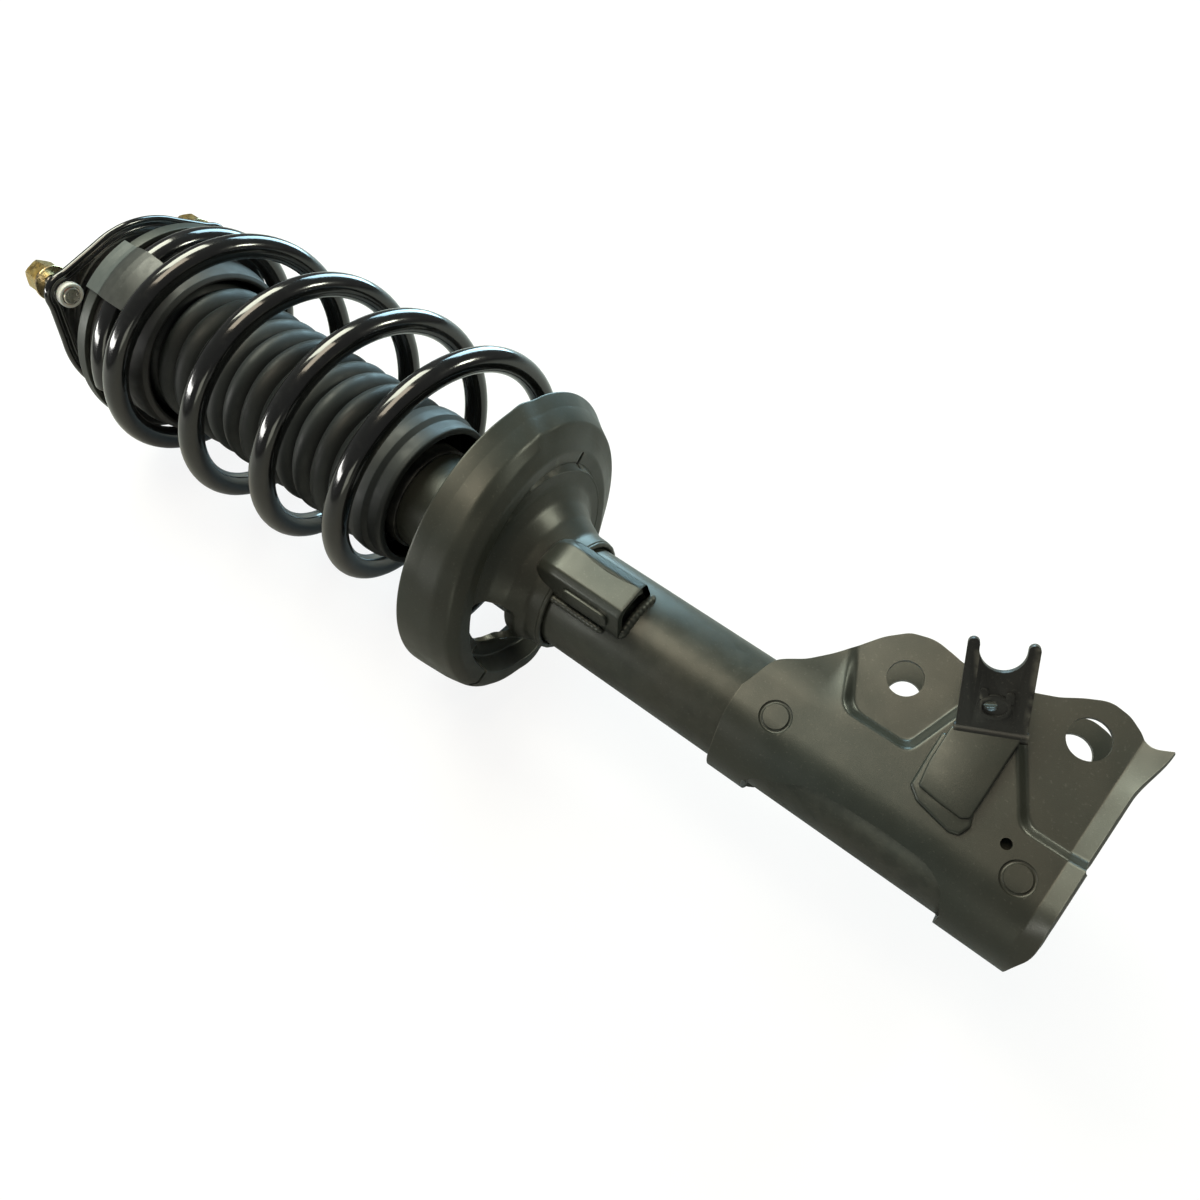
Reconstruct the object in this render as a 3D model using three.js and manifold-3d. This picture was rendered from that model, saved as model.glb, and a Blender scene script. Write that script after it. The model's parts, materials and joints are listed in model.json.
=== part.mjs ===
// Front suspension strut assembly (MacPherson type), right-hand side of a small car.
//
// Millimetres. +Z runs up the strut axis to the top mount, +X points from the axis to the steering knuckle
// ears, and the knuckle bolts run along Y. The origin is the centre of the damper tube's closed base.
// Shown at full extension with the steering straight ahead.

import * as THREE from "three";
import { mergeVertices } from "three/addons/utils/BufferGeometryUtils.js";
import Module from "manifold-3d";

const wasm = await Module();
wasm.setup();

// ---- Driving dimensions ----

const GAP = 0.3; // clearance between pieces that touch on the real assembly

const TUBE_R = 25.5; // damper tube, outside
const TUBE_WALL = 2.5;
const TUBE_TOP = 342;
const BORE_R = 15; // pressure tube, inside
const BORE_WALL = 1.5;
const ROD_R = 10;
const ROD_THREAD_R = 6;
const PISTON_Z = 272; // underside of the piston at full extension
const GUIDE_Z = 310; // rod guide, lower end
const GUIDE_FACE_Z = 318; // upper end of the pressure tube
const SEAL_Z = 333;
const BUMP_CAP_Z = 345; // top face of the cap the bump stop lands on

const SHEET = 3.3; // knuckle bracket plate
const COLLAR_R = 28.9; // knuckle bracket collar, outside
const COLLAR_TOP = 139;
const COLLAR_BOTTOM = -4.3;
const TOE_Z = -7.8; // lowest corner of the ears, at their toe
const EAR_FACE_Y = 21.7; // outer face of each ear, from the strut's middle plane
const EAR_SHEET = 3.5;
const BOLT_UPPER = { x: 45, z: 87, r: 7.5 };
const BOLT_LOWER = { x: 62.5, z: 18, r: 8.5 };

const HOSE_SHEET = 3.2; // brake hose bracket
const FORK_ROOT = new THREE.Vector3(42, -31.6, 48.6); // middle of the bend line, just inside the tab
const FORK_SLANT = 25; // degrees between the bend line and the strut axis
const FORK_LEAN = 32; // degrees between the fork and the ear's face
const FORK_WIDTH = 26;
const FORK_HEIGHT = 37.4;
const NOTCH_R = 8.6;

const HUB_R = 28.9; // lower end of the lower spring seat's hub
const HUB_Z = 234;
const LINK_LOW = 196; // stabiliser link bracket, lower end
const LINK_TOP = 242;
const LINK_R = 40; // its flat outer face, from the strut axis
const LINK_SHEET = 3;
const LINK_ANGLE = THREE.MathUtils.degToRad(-78);
const WEB_Z = 261.5; // underside of the lower spring seat's raised web, inside the trough
const TROUGH_Z = 257.6; // underside of its trough, halfway round
const TROUGH_TILT = 6.4; // how much higher the trough is on the ears' side
const TROUGH_R = 53.5; // inner edge of the trough's floor
const WALL_R = 60; // where the floor turns up into the outer wall
const PAN_RIM_Z = 283;
const PAN_SHEET = 2.6;
const PAN_R = 74.7; // rim radius
const PAN_TILT = 1.3; // how much higher the whole pan is on the ears' side
const PAN_SHIFT = 6.9; // how far the rim's centre sits towards the ears

const WIRE_R = 6.25;
const COIL_R = 62.8; // mean radius of the open coils
const COIL_END_R = 56; // mean radius of the closed coil under the upper seat
const COIL_Z = 489.5; // height of the wire where turn 0 passes the side facing -Y
const COIL_START_ANGLE = (-95 * Math.PI) / 180;
const COIL_FIRST_TURN = -1.15;
const COIL_LAST_TURN = 4.45;
const COIL_SHIFT_X = 4.2; // sideways place of the open coils' centre at turn 0
const COIL_BOW_X = 3.2; // and how far it moves in each turn
const COIL_BOW_Y = -1.2;
const COIL_TILT = 1.2; // how far the open coils rise towards the ears
const COIL_SEATED_X = 1; // sideways place of the coil that lies in the lower seat
const COIL_SEATED_R = 58.5;
// Wire pitch along the spring: [turn, drop in mm a turn].
const COIL_PITCH = [
  [-1.15, 2],
  [-0.45, 2],
  [-0.2, 64],
  [0, 64],
  [1, 52],
  [2, 49.4],
  [3.6, 50],
  [3.85, 109],
  [4.11, 0],
  [4.45, 0],
];

const SEAT_R = 59.5; // upper spring seat
const SEAT_Z = 536; // its top face
const PLATE_Z = 552; // underside of the top mount plate
const MOUNT_TOP_Z = 566; // upper end of the mount's rubber housing and sleeve
const ROD_STEP_Z = 541; // where the rod steps down to its thread
const PLATE_SHEET = 3;
const PLATE_R = 54.2;
const STUD_PCR = 53; // stud circle radius
const STUD_R = 4;
const LOBE_R = 12;
const LOBE_SPREAD = 1.0; // radians of the lobe's arc each side of its stud
const LOBE_FLANK = 0.55; // radians from the stud to where the lobe runs into the round plate
const STUD_ANGLES = [-114, 6, 126].map(THREE.MathUtils.degToRad);
const STUD_TIP_Z = 578.5;
const STUD_HEAD_Z = 547.6;
const STUD_HEAD_R = 4.6;
const NUT_Z = 564.5; // the nuts sit part way down their studs, as for shipping
const NUT_HEX_R = 8.6;
const NUT_FLANGE_R = 9.8;

const BOOT_LOW_Z = 325;
const BOOT_FOLDS_Z = 350; // where the folds start, above the plain cuff
const BOOT_TOP_Z = 532;
const BOOT_FOLDS = 13;
const BOOT_CREST_R = 40;
const BOOT_VALLEY_R = 34.5;
const BOOT_WALL = 1.6;
const BOOT_NECK = 12; // plain length above the folds

const BEARING_R = 37;
const BALL_R = 2.8;
const BALLS = 12;
const LOWER_RACE = 4; // height of the lower race's groove above the seat
const UPPER_RACE_Z = 547.6; // groove in the upper race

// ---- Materials ----

function paint(color, roughness, metalness) {
  return new THREE.MeshStandardMaterial({ color, roughness, metalness });
}

const BODY_PAINT = paint(0x3c413a, 0.45, 0.3);
const GLOSS_BLACK = paint(0x0d0d0d, 0.2, 0.3);
const SATIN_BLACK = paint(0x17191a, 0.45, 0.2);
const RUBBER = paint(0x1a1d1d, 0.75, 0);
const STEEL = paint(0x9a9c9e, 0.35, 0.9);
const CHROME = paint(0xd8dadc, 0.08, 1);
const ZINC = paint(0xc9a24a, 0.35, 0.9);
const NYLON = paint(0xd9d9d2, 0.5, 0);
const FOAM = paint(0xc2b37a, 0.85, 0);

// ---- Shape helpers ----

// A closed mesh as a manifold-3d solid.
function solid(geometry) {
  const bare = geometry.clone();
  bare.deleteAttribute("normal");
  bare.deleteAttribute("uv");
  const merged = mergeVertices(bare, 1e-4);
  return new wasm.Manifold(
    new wasm.Mesh({
      numProp: 3,
      vertProperties: merged.attributes.position.array,
      triVerts: new Uint32Array(merged.index.array),
    }),
  );
}

// A manifold-3d solid as a three.js geometry.
function shell(body) {
  const mesh = body.getMesh();
  const geometry = new THREE.BufferGeometry();
  geometry.setAttribute("position", new THREE.BufferAttribute(mesh.vertProperties, 3));
  geometry.setIndex(new THREE.BufferAttribute(mesh.triVerts, 1));
  geometry.computeVertexNormals();
  return geometry;
}

function joined(first, ...rest) {
  return rest.reduce((sum, next) => sum.add(solid(next)), solid(first));
}

function cut(body, ...tools) {
  return tools.reduce((left, tool) => left.subtract(solid(tool)), body);
}

// A profile of [radius, height] pairs turned about Z, in either direction round.
function lathe(profile, segments = 24) {
  const points = profile.map(([r, z]) => new THREE.Vector2(r, z));
  const turnsBack = THREE.ShapeUtils.area(points) < 0;
  if (turnsBack) points.reverse();
  const onAxis = points.findIndex((p) => p.x === 0);
  const ordered = onAxis < 0 ? [...points, points[0].clone()] : startOnAxis(points);
  return new THREE.LatheGeometry(ordered, segments).rotateX(Math.PI / 2);
}

// The same loop of points, started and ended at its two points on the axis.
function startOnAxis(points) {
  const count = points.length;
  const first = points.findIndex((p, i) => p.x === 0 && points[(i + count - 1) % count].x === 0);
  return points.map((_, i) => points[(first + i) % count]);
}

// A round ring with a rectangular section.
function ring(inner, outer, bottom, top, segments = 24) {
  return lathe([[inner, bottom], [outer, bottom], [outer, top], [inner, top]], segments);
}

function disc(radius, bottom, top, segments = 24) {
  return lathe([[0, bottom], [radius, bottom], [radius, top], [0, top]], segments);
}

function block(x0, x1, y0, y1, z0, z1) {
  const box = new THREE.BoxGeometry(x1 - x0, y1 - y0, z1 - z0);
  return box.translate((x0 + x1) / 2, (y0 + y1) / 2, (z0 + z1) / 2);
}

// A flat outline in the XY plane, pulled up from bottom to top.
function slab(outline, bottom, top, curveSegments = 8) {
  const options = { depth: top - bottom, bevelEnabled: false, curveSegments };
  return new THREE.ExtrudeGeometry(outline, options).translate(0, 0, bottom);
}

// An outline drawn in (x, z), with thickness from y0 to y1.
function standing(outline, y0, y1, curveSegments = 8) {
  return slab(outline, 0, y1 - y0, curveSegments).rotateX(Math.PI / 2).translate(0, y1, 0);
}

// A hole for an outline that is drawn clockwise.
function roundHole(x, y, radius) {
  return new THREE.Path().absarc(x, y, radius, 0, 2 * Math.PI, false);
}

function hexagon(radius) {
  const corners = [0, 1, 2, 3, 4, 5].map((i) => (i * Math.PI) / 3);
  return new THREE.Shape(corners.map((a) => new THREE.Vector2(radius * Math.cos(a), radius * Math.sin(a))));
}

// A piece modelled on the axis, moved out to a radius in the direction of an angle.
function around(geometry, angle, radius) {
  return geometry.translate(radius * Math.cos(angle), radius * Math.sin(angle), 0);
}

// ---- Damper ----

function reserveTube() {
  const inside = TUBE_R - TUBE_WALL;
  return lathe([
    [inside, 0],
    [TUBE_R, 0],
    [TUBE_R, TUBE_TOP - 2],
    [TUBE_R - 2, TUBE_TOP],
    [inside - 3, TUBE_TOP],
    [inside - 3, TUBE_TOP - 2],
    [inside, TUBE_TOP - 2],
  ], 32);
}

function baseCap() {
  const radius = TUBE_R - TUBE_WALL - GAP;
  return lathe([[0, 0], [radius, 0], [radius, 6], [radius - 4, 6], [radius - 6, 4], [0, 4]]);
}

function baseValve() {
  const spigot = BORE_R - GAP;
  return lathe([
    [0, 4.3],
    [15, 4.3],
    [16.5, 7],
    [16.5, 12],
    [spigot, 12],
    [spigot, 19],
    [8, 19],
    [8, 22],
    [0, 22],
  ]);
}

function pressureTube() {
  return ring(BORE_R, BORE_R + BORE_WALL, 12 + GAP, GUIDE_FACE_Z);
}

function rodGuide() {
  const outside = TUBE_R - TUBE_WALL - GAP;
  const bore = ROD_R + 0.4;
  const spigot = BORE_R - GAP;
  return lathe([
    [bore, GUIDE_Z],
    [spigot, GUIDE_Z],
    [spigot, GUIDE_FACE_Z + GAP],
    [outside, GUIDE_FACE_Z + GAP],
    [outside, SEAL_Z],
    [bore, SEAL_Z],
  ]);
}

function rodSeal() {
  return ring(ROD_R + 0.4, TUBE_R - TUBE_WALL - GAP, SEAL_Z + GAP, TUBE_TOP - 2 - GAP);
}

function bumpCap() {
  const inside = TUBE_R + GAP;
  return lathe([
    [inside, BUMP_CAP_Z - 19],
    [inside + 1.5, BUMP_CAP_Z - 19],
    [inside + 1.5, BUMP_CAP_Z - 2],
    [inside - 0.5, BUMP_CAP_Z],
    [12, BUMP_CAP_Z],
    [12, TUBE_TOP + GAP],
    [inside, TUBE_TOP + GAP],
  ]);
}

function pistonRod() {
  return lathe([
    [0, PISTON_Z - 9],
    [ROD_THREAD_R, PISTON_Z - 9],
    [ROD_THREAD_R, PISTON_Z + 15],
    [ROD_R, PISTON_Z + 15],
    [ROD_R, ROD_STEP_Z - 1],
    [ROD_THREAD_R, ROD_STEP_Z],
    [ROD_THREAD_R, 580],
    [0, 580],
  ]);
}

function piston() {
  const groove = BORE_R - 2.2;
  const land = BORE_R - 0.6;
  return lathe([
    [ROD_THREAD_R + GAP, PISTON_Z],
    [land - 2, PISTON_Z],
    [land, PISTON_Z + 2],
    [land, PISTON_Z + 3],
    [groove, PISTON_Z + 3],
    [groove, PISTON_Z + 11],
    [land, PISTON_Z + 11],
    [land, PISTON_Z + 14],
    [ROD_THREAD_R + GAP, PISTON_Z + 14],
  ]);
}

function pistonBand() {
  return ring(BORE_R - 1.8, BORE_R - 0.4, PISTON_Z + 3.3, PISTON_Z + 10.7);
}

function pistonNut() {
  const hex = slab(hexagon(10), PISTON_Z - 8, PISTON_Z - GAP);
  return shell(cut(solid(hex), disc(ROD_THREAD_R + GAP, PISTON_Z - 9, PISTON_Z)));
}

function reboundStop() {
  return ring(ROD_R + GAP, BORE_R - 1, PISTON_Z + 25, PISTON_Z + 34);
}

// ---- Knuckle bracket ----

// One ear's outline in (x, z): two bolt bosses joined by a waist, on a plate that reaches
// back to the collar.
function earOutline() {
  const outline = new THREE.Shape();
  outline.moveTo(14, COLLAR_BOTTOM);
  outline.lineTo(14, COLLAR_TOP - 4);
  outline.lineTo(22.7, COLLAR_TOP - 4);
  outline.quadraticCurveTo(33, 125, 48, 109);
  outline.quadraticCurveTo(57, 100, 62.2, 95.4);
  outline.quadraticCurveTo(67, 84, 62.5, 72);
  outline.quadraticCurveTo(64, 50, 70.6, 35);
  outline.quadraticCurveTo(77.5, 26, 79.3, 17.1);
  outline.quadraticCurveTo(79, 8, 71.5, 0.7);
  outline.lineTo(75, TOE_Z);
  outline.lineTo(66, COLLAR_BOTTOM - 1.5);
  outline.lineTo(50, COLLAR_BOTTOM);
  outline.closePath();
  outline.holes.push(roundHole(BOLT_UPPER.x, BOLT_UPPER.z, BOLT_UPPER.r));
  outline.holes.push(roundHole(BOLT_LOWER.x, BOLT_LOWER.z, BOLT_LOWER.r));
  return outline;
}

// A pressed web that runs level from the collar's side and steps in to the ear's face, as an
// outline in (x, y).
function webOutline(level, reach) {
  const web = new THREE.Shape();
  web.moveTo(0, -COLLAR_R);
  web.lineTo(level, -COLLAR_R);
  web.lineTo(reach, -EAR_FACE_Y);
  web.lineTo(reach, -EAR_FACE_Y + EAR_SHEET);
  web.lineTo(level - 1, -COLLAR_R + SHEET);
  web.lineTo(0, -COLLAR_R + SHEET);
  web.closePath();
  return web;
}

function knuckleBracket() {
  const collar = lathe([
    [TUBE_R, COLLAR_BOTTOM + 6],
    [TUBE_R + 2.5, COLLAR_BOTTOM],
    [COLLAR_R + 1.5, COLLAR_BOTTOM],
    [COLLAR_R, COLLAR_BOTTOM + 6],
    [COLLAR_R, COLLAR_TOP],
    [TUBE_R, COLLAR_TOP],
  ], 32);
  const ear = standing(earOutline(), -EAR_FACE_Y, -EAR_FACE_Y + EAR_SHEET);
  const rib = slab(webOutline(38, 50), 38, 70);
  const shoulder = slab(webOutline(10, 26), 106, COLLAR_TOP - 4);
  const foot = slab(webOutline(14, 30), COLLAR_BOTTOM + 1, 2);
  const nearSide = joined(ear, rib, shoulder, foot);
  const farSide = nearSide.mirror([0, 1, 0]);
  const inner = EAR_FACE_Y - EAR_SHEET;
  const mouth = block(0, 90, -inner, inner, TOE_Z - 1, COLLAR_TOP + 1);
  const bore = disc(TUBE_R + GAP, COLLAR_BOTTOM - 5, COLLAR_TOP + 5, 32);
  const window = block(-60, -13, -40, 40, 42, 99);
  const plugs = [120.1, 12.8].map((z) => plugWeldDimple(z));
  return shell(cut(cut(solid(collar), window).add(nearSide).add(farSide), mouth, bore, ...plugs));
}

// A shallow round dimple in the collar's side, where the collar is plug-welded to the tube.
function plugWeldDimple(z) {
  const dimple = new THREE.CylinderGeometry(6, 6, 2, 20);
  return dimple.translate(2, -COLLAR_R - 0.2, z);
}

// ---- Brackets on the damper ----

// Pressed tab on the near ear's rib. It bends outwards along a slanted line into a U-shaped fork
// that holds the brake hose.
function hoseBracket() {
  const tab = new THREE.Shape();
  tab.moveTo(6, 36.2);
  tab.lineTo(2.5, 62.4);
  tab.lineTo(37, 62.3);
  tab.lineTo(48.3, 38);
  tab.closePath();
  const tabFace = -COLLAR_R - GAP;
  const plate = standing(tab, tabFace - HOSE_SHEET, tabFace);

  const half = FORK_WIDTH / 2;
  const fork = new THREE.Shape();
  fork.moveTo(-half, 0);
  fork.lineTo(-half, FORK_HEIGHT);
  fork.lineTo(-NOTCH_R, FORK_HEIGHT);
  fork.lineTo(-NOTCH_R, FORK_HEIGHT - 2);
  fork.absarc(0, FORK_HEIGHT - 2, NOTCH_R, Math.PI, 2 * Math.PI, false);
  fork.lineTo(NOTCH_R, FORK_HEIGHT);
  fork.lineTo(half, FORK_HEIGHT);
  fork.lineTo(half, 0);
  fork.closePath();
  fork.holes.push(roundHole(0, 12, 2.6));
  const blade = slab(fork, -HOSE_SHEET, 0);

  const slant = THREE.MathUtils.degToRad(FORK_SLANT);
  const lean = THREE.MathUtils.degToRad(FORK_LEAN);
  const along = new THREE.Vector3(Math.sin(slant), 0, -Math.cos(slant));
  const level = new THREE.Vector3(Math.cos(slant), 0, Math.sin(slant));
  const rise = level.multiplyScalar(Math.cos(lean)).add(new THREE.Vector3(0, -Math.sin(lean), 0));
  const face = new THREE.Vector3().crossVectors(along, rise);
  const turned = new THREE.Matrix4().makeBasis(along, rise, face);
  blade.applyMatrix4(turned.setPosition(FORK_ROOT));
  return shell(joined(plate, blade));
}

// The channel for the stabiliser link, welded to the tube under the spring seat.
function linkBracket() {
  const side = 11.5; // half the channel's width
  const inner = LINK_R - LINK_SHEET;
  const section = new THREE.Shape();
  section.moveTo(20, -side);
  section.lineTo(LINK_R - 3, -side);
  section.lineTo(LINK_R, 3 - side);
  section.lineTo(LINK_R, side - 3);
  section.lineTo(LINK_R - 3, side);
  section.lineTo(20, side);
  section.lineTo(20, side - LINK_SHEET);
  section.lineTo(inner - 1, side - LINK_SHEET);
  section.lineTo(inner, side - 4);
  section.lineTo(inner, 4 - side);
  section.lineTo(inner - 1, LINK_SHEET - side);
  section.lineTo(20, LINK_SHEET - side);
  section.closePath();
  const channel = slab(section, LINK_LOW, LINK_TOP);
  const cap = block(20, LINK_R - 1, 1 - side, side - 1, LINK_TOP - LINK_SHEET, LINK_TOP);
  const stud = new THREE.CylinderGeometry(5.5, 5.5, 12, 24).rotateZ(Math.PI / 2);
  stud.translate(LINK_R - 1, 0, LINK_LOW + 20);
  const bore = disc(TUBE_R + GAP, LINK_LOW - 6, LINK_TOP + 20, 32);
  const hub = disc(HUB_R + 2, HUB_Z - GAP, LINK_TOP + 20, 32);
  const body = shell(cut(joined(channel, cap), stud, bore, hub));
  return body.rotateZ(LINK_ANGLE);
}

function lowerSpringSeat() {
  const pan = lathe([
    [TUBE_R + GAP, HUB_Z],
    [HUB_R, HUB_Z],
    [HUB_R + 0.7, HUB_Z + 7],
    [33.5, 250],
    [38.5, 257],
    [44, WEB_Z - 0.5],
    [TROUGH_R - 2.5, WEB_Z],
    [TROUGH_R, TROUGH_Z],
    [WALL_R, TROUGH_Z],
    [WALL_R + 5.5, TROUGH_Z + 3.6],
    [69.3, 267],
    [72.1, 275.6],
    [PAN_R, PAN_RIM_Z],
    [PAN_R - PAN_SHEET, PAN_RIM_Z],
    [69.5, 276.3],
    [66.9, 268.4],
    [WALL_R + 3.6, TROUGH_Z + 5],
    [WALL_R - 1, TROUGH_Z + PAN_SHEET],
    [TROUGH_R + 2, TROUGH_Z + PAN_SHEET],
    [TROUGH_R - 1, WEB_Z + PAN_SHEET],
    [43, WEB_Z + PAN_SHEET - 0.4],
    [36.5, 259],
    [31, 251.5],
    [TUBE_R + GAP, 247],
  ], 32);
  return shapeTrough(pan);
}

// Tilts the pan and its trough up towards the ears, and moves the outer wall the same way, more
// the higher it is.
function shapeTrough(geometry) {
  const spots = geometry.attributes.position;
  for (let i = 0; i < spots.count; i++) {
    const [x, y, z] = [spots.getX(i), spots.getY(i), spots.getZ(i)];
    const radius = Math.hypot(x, y);
    const inTrough = THREE.MathUtils.smoothstep(radius, TROUGH_R - 2.5, TROUGH_R);
    const upWall = THREE.MathUtils.smoothstep(z, TROUGH_Z + 1, TROUGH_Z + 13);
    const wall = Math.max(radius - WALL_R, 0) / (PAN_R - WALL_R);
    spots.setX(i, x + PAN_SHIFT * wall * wall);
    const tilt = TROUGH_TILT * inTrough * (1 - upWall) + PAN_TILT * inTrough;
    spots.setZ(i, z + (tilt * x) / radius);
  }
  geometry.computeVertexNormals();
  return geometry;
}

// ---- Spring and boot ----

// Drop of the wire from turn 0 to the given turn: the area under the pitch line.
function coilDrop(turn) {
  const pitchAt = (t) => {
    const next = COIL_PITCH.findIndex(([end]) => end >= t - 1e-9);
    const [t1, p1] = COIL_PITCH[Math.max(next, 1)];
    const [t0, p0] = COIL_PITCH[Math.max(next, 1) - 1];
    return p0 + ((p1 - p0) * (t - t0)) / (t1 - t0);
  };
  const steps = 64;
  const step = turn / steps;
  let drop = 0;
  for (let i = 0; i < steps; i++) drop += pitchAt((i + 0.5) * step) * step;
  return drop;
}

// The wire's centre line. The open coils bow sideways, and both end coils sit true in their seats.
class CoilLine extends THREE.Curve {
  getPoint(t, target = new THREE.Vector3()) {
    const turn = COIL_FIRST_TURN + t * (COIL_LAST_TURN - COIL_FIRST_TURN);
    const open = THREE.MathUtils.smoothstep(turn, COIL_FIRST_TURN, -0.1);
    const settled = THREE.MathUtils.smoothstep(turn, 3.35, 4.1);
    const seated = THREE.MathUtils.smoothstep(turn, 3.7, 4.1);
    const radius = COIL_END_R + (COIL_R - COIL_END_R) * open - (COIL_R - COIL_SEATED_R) * seated;
    const bow = Math.max(turn, 0) * (1 - settled);
    const shift = COIL_SHIFT_X * open * (1 - settled) + COIL_SEATED_X * settled;
    const angle = COIL_START_ANGLE + 2 * Math.PI * turn;
    const tilt = COIL_TILT * open * (1 - settled) + (TROUGH_TILT + PAN_TILT) * seated;
    return target.set(
      shift + COIL_BOW_X * bow + radius * Math.cos(angle),
      COIL_BOW_Y * bow + radius * Math.sin(angle),
      COIL_Z - coilDrop(turn) + tilt * Math.cos(angle),
    );
  }
}

function coilSpring() {
  const wire = new THREE.Shape();
  wire.absarc(0, 0, WIRE_R, 0, 2 * Math.PI);
  const turns = COIL_LAST_TURN - COIL_FIRST_TURN;
  const steps = Math.round(turns * 20);
  const options = { steps, bevelEnabled: false, curveSegments: 3, extrudePath: new CoilLine() };
  return new THREE.ExtrudeGeometry(wire, options);
}

function dustBoot() {
  const neckZ = BOOT_TOP_Z - BOOT_NECK;
  const pitch = (neckZ - BOOT_FOLDS_Z) / BOOT_FOLDS;
  const lip = [36, BOOT_LOW_Z];
  const cuff = [
    [38.5, BOOT_LOW_Z + 1],
    [38.5, BOOT_LOW_Z + 9],
    [40.5, BOOT_LOW_Z + 11],
    [40.5, BOOT_FOLDS_Z - 3],
  ];
  const outside = [lip, ...cuff];
  for (let i = 0; i < BOOT_FOLDS; i++) {
    const low = BOOT_FOLDS_Z + i * pitch;
    outside.push([BOOT_VALLEY_R, low], [BOOT_CREST_R, low + pitch / 2]);
  }
  outside.push([BOOT_VALLEY_R, neckZ], [BOOT_VALLEY_R, BOOT_TOP_Z]);
  const inside = outside.map(([r, z]) => [r - BOOT_WALL, z]).reverse();
  return lathe([...outside, ...inside], 16);
}

// ---- Upper seat and top mount ----

function upperSpringSeat() {
  return lathe([
    [SEAT_R, 523],
    [SEAT_R, 529],
    [SEAT_R - 3, 532],
    [50, 532],
    [46, SEAT_Z],
    [22, SEAT_Z],
    [22, SEAT_Z - 2.5],
    [44.8, SEAT_Z - 2.5],
    [48.8, 529.5],
    [SEAT_R - 4, 529.5],
    [SEAT_R - 2.5, 528],
    [SEAT_R - 2.5, 523],
  ], 32);
}

function springIsolator() {
  return lathe([
    [42.5, 490],
    [44.5, 490],
    [48.4, 503],
    [48.4, 518.8],
    [56.5, 518.8],
    [56.5, 527.8],
    [55.2, 529.2],
    [48.4, 529.2],
    [44.5, 533],
    [42.5, 533],
  ]);
}

function bumpStop() {
  const bore = ROD_R + 0.8;
  return lathe([
    [14, 478],
    [19, 482],
    [21, 490],
    [17, 497],
    [23, 504],
    [18, 511],
    [24, 518],
    [20, 526],
    [20, 533],
    [bore, 533],
    [bore, 478],
  ]);
}

function bearingLowerRace() {
  return lathe([
    [31, SEAT_Z + GAP],
    [43, SEAT_Z + GAP],
    [43, SEAT_Z + 5],
    [40, SEAT_Z + 5],
    [38, SEAT_Z + LOWER_RACE],
    [36, SEAT_Z + LOWER_RACE],
    [34, SEAT_Z + 5],
    [31, SEAT_Z + 5],
  ]);
}

function bearingUpperRace() {
  const top = PLATE_Z - GAP;
  return lathe([
    [31, UPPER_RACE_Z - 1],
    [34, UPPER_RACE_Z - 1],
    [36, UPPER_RACE_Z],
    [38, UPPER_RACE_Z],
    [40, UPPER_RACE_Z - 1],
    [43, UPPER_RACE_Z - 1],
    [43, top],
    [31, top],
  ]);
}

function ballCage() {
  const middle = (SEAT_Z + LOWER_RACE + UPPER_RACE_Z) / 2;
  const cage = ring(BEARING_R - 4, BEARING_R + 4, middle - 1, middle + 1);
  let body = solid(cage);
  for (let i = 0; i < BALLS; i++) {
    const ball = new THREE.SphereGeometry(BALL_R, 6, 5).translate(0, 0, middle);
    body = body.add(solid(around(ball, (2 * Math.PI * i) / BALLS, BEARING_R)));
  }
  return shell(body);
}

// The plate's outline: a round plate with a rounded lobe round each stud.
function plateOutline() {
  const outline = new THREE.Shape();
  STUD_ANGLES.forEach((angle, i) => {
    const x = STUD_PCR * Math.cos(angle);
    const y = STUD_PCR * Math.sin(angle);
    const start = angle - LOBE_FLANK;
    if (i === 0) outline.moveTo(PLATE_R * Math.cos(start), PLATE_R * Math.sin(start));
    outline.absarc(x, y, LOBE_R, angle - LOBE_SPREAD, angle + LOBE_SPREAD, false);
    const next = STUD_ANGLES[(i + 1) % STUD_ANGLES.length];
    outline.absarc(0, 0, PLATE_R, angle + LOBE_FLANK, next - LOBE_FLANK, false);
  });
  return outline;
}

function mountPlate() {
  const plate = slab(plateOutline(), PLATE_Z, PLATE_Z + PLATE_SHEET, 10);
  const housing = lathe([
    [24.3, 546],
    [27, 546],
    [27, MOUNT_TOP_Z - 4],
    [20, MOUNT_TOP_Z],
    [20, MOUNT_TOP_Z - 2.5],
    [24.3, 561],
  ]);
  const middle = disc(25, PLATE_Z - 1, PLATE_Z + PLATE_SHEET + 1);
  const studHoles = STUD_ANGLES.map((angle) => around(disc(STUD_R + GAP, 550, 560, 12), angle, STUD_PCR));
  return shell(cut(solid(plate), middle, ...studHoles).add(solid(housing)));
}

function mountRubber() {
  return lathe([[9.8, 547], [24, 547], [24, 560.5], [19.5, 563], [9.8, 563]]);
}

function mountSleeve() {
  return ring(ROD_THREAD_R + GAP, 9.5, ROD_STEP_Z + GAP, MOUNT_TOP_Z);
}

function rodWasher() {
  return ring(ROD_THREAD_R + GAP, 16, MOUNT_TOP_Z + GAP, MOUNT_TOP_Z + 2.5);
}

function rodNut() {
  const hex = slab(hexagon(11), MOUNT_TOP_Z + 2.5 + GAP, MOUNT_TOP_Z + 11);
  return shell(cut(solid(hex), disc(ROD_THREAD_R + GAP, MOUNT_TOP_Z, MOUNT_TOP_Z + 12, 20)));
}

function mountStud() {
  const head = disc(STUD_HEAD_R, STUD_HEAD_Z, PLATE_Z - GAP, 16);
  const shank = disc(STUD_R, STUD_HEAD_Z + 2, STUD_TIP_Z, 12);
  return shell(joined(head, shank));
}

function studRetainer() {
  return ring(STUD_HEAD_R + GAP, 6.9, STUD_HEAD_Z + GAP, PLATE_Z - GAP, 16);
}

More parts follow.
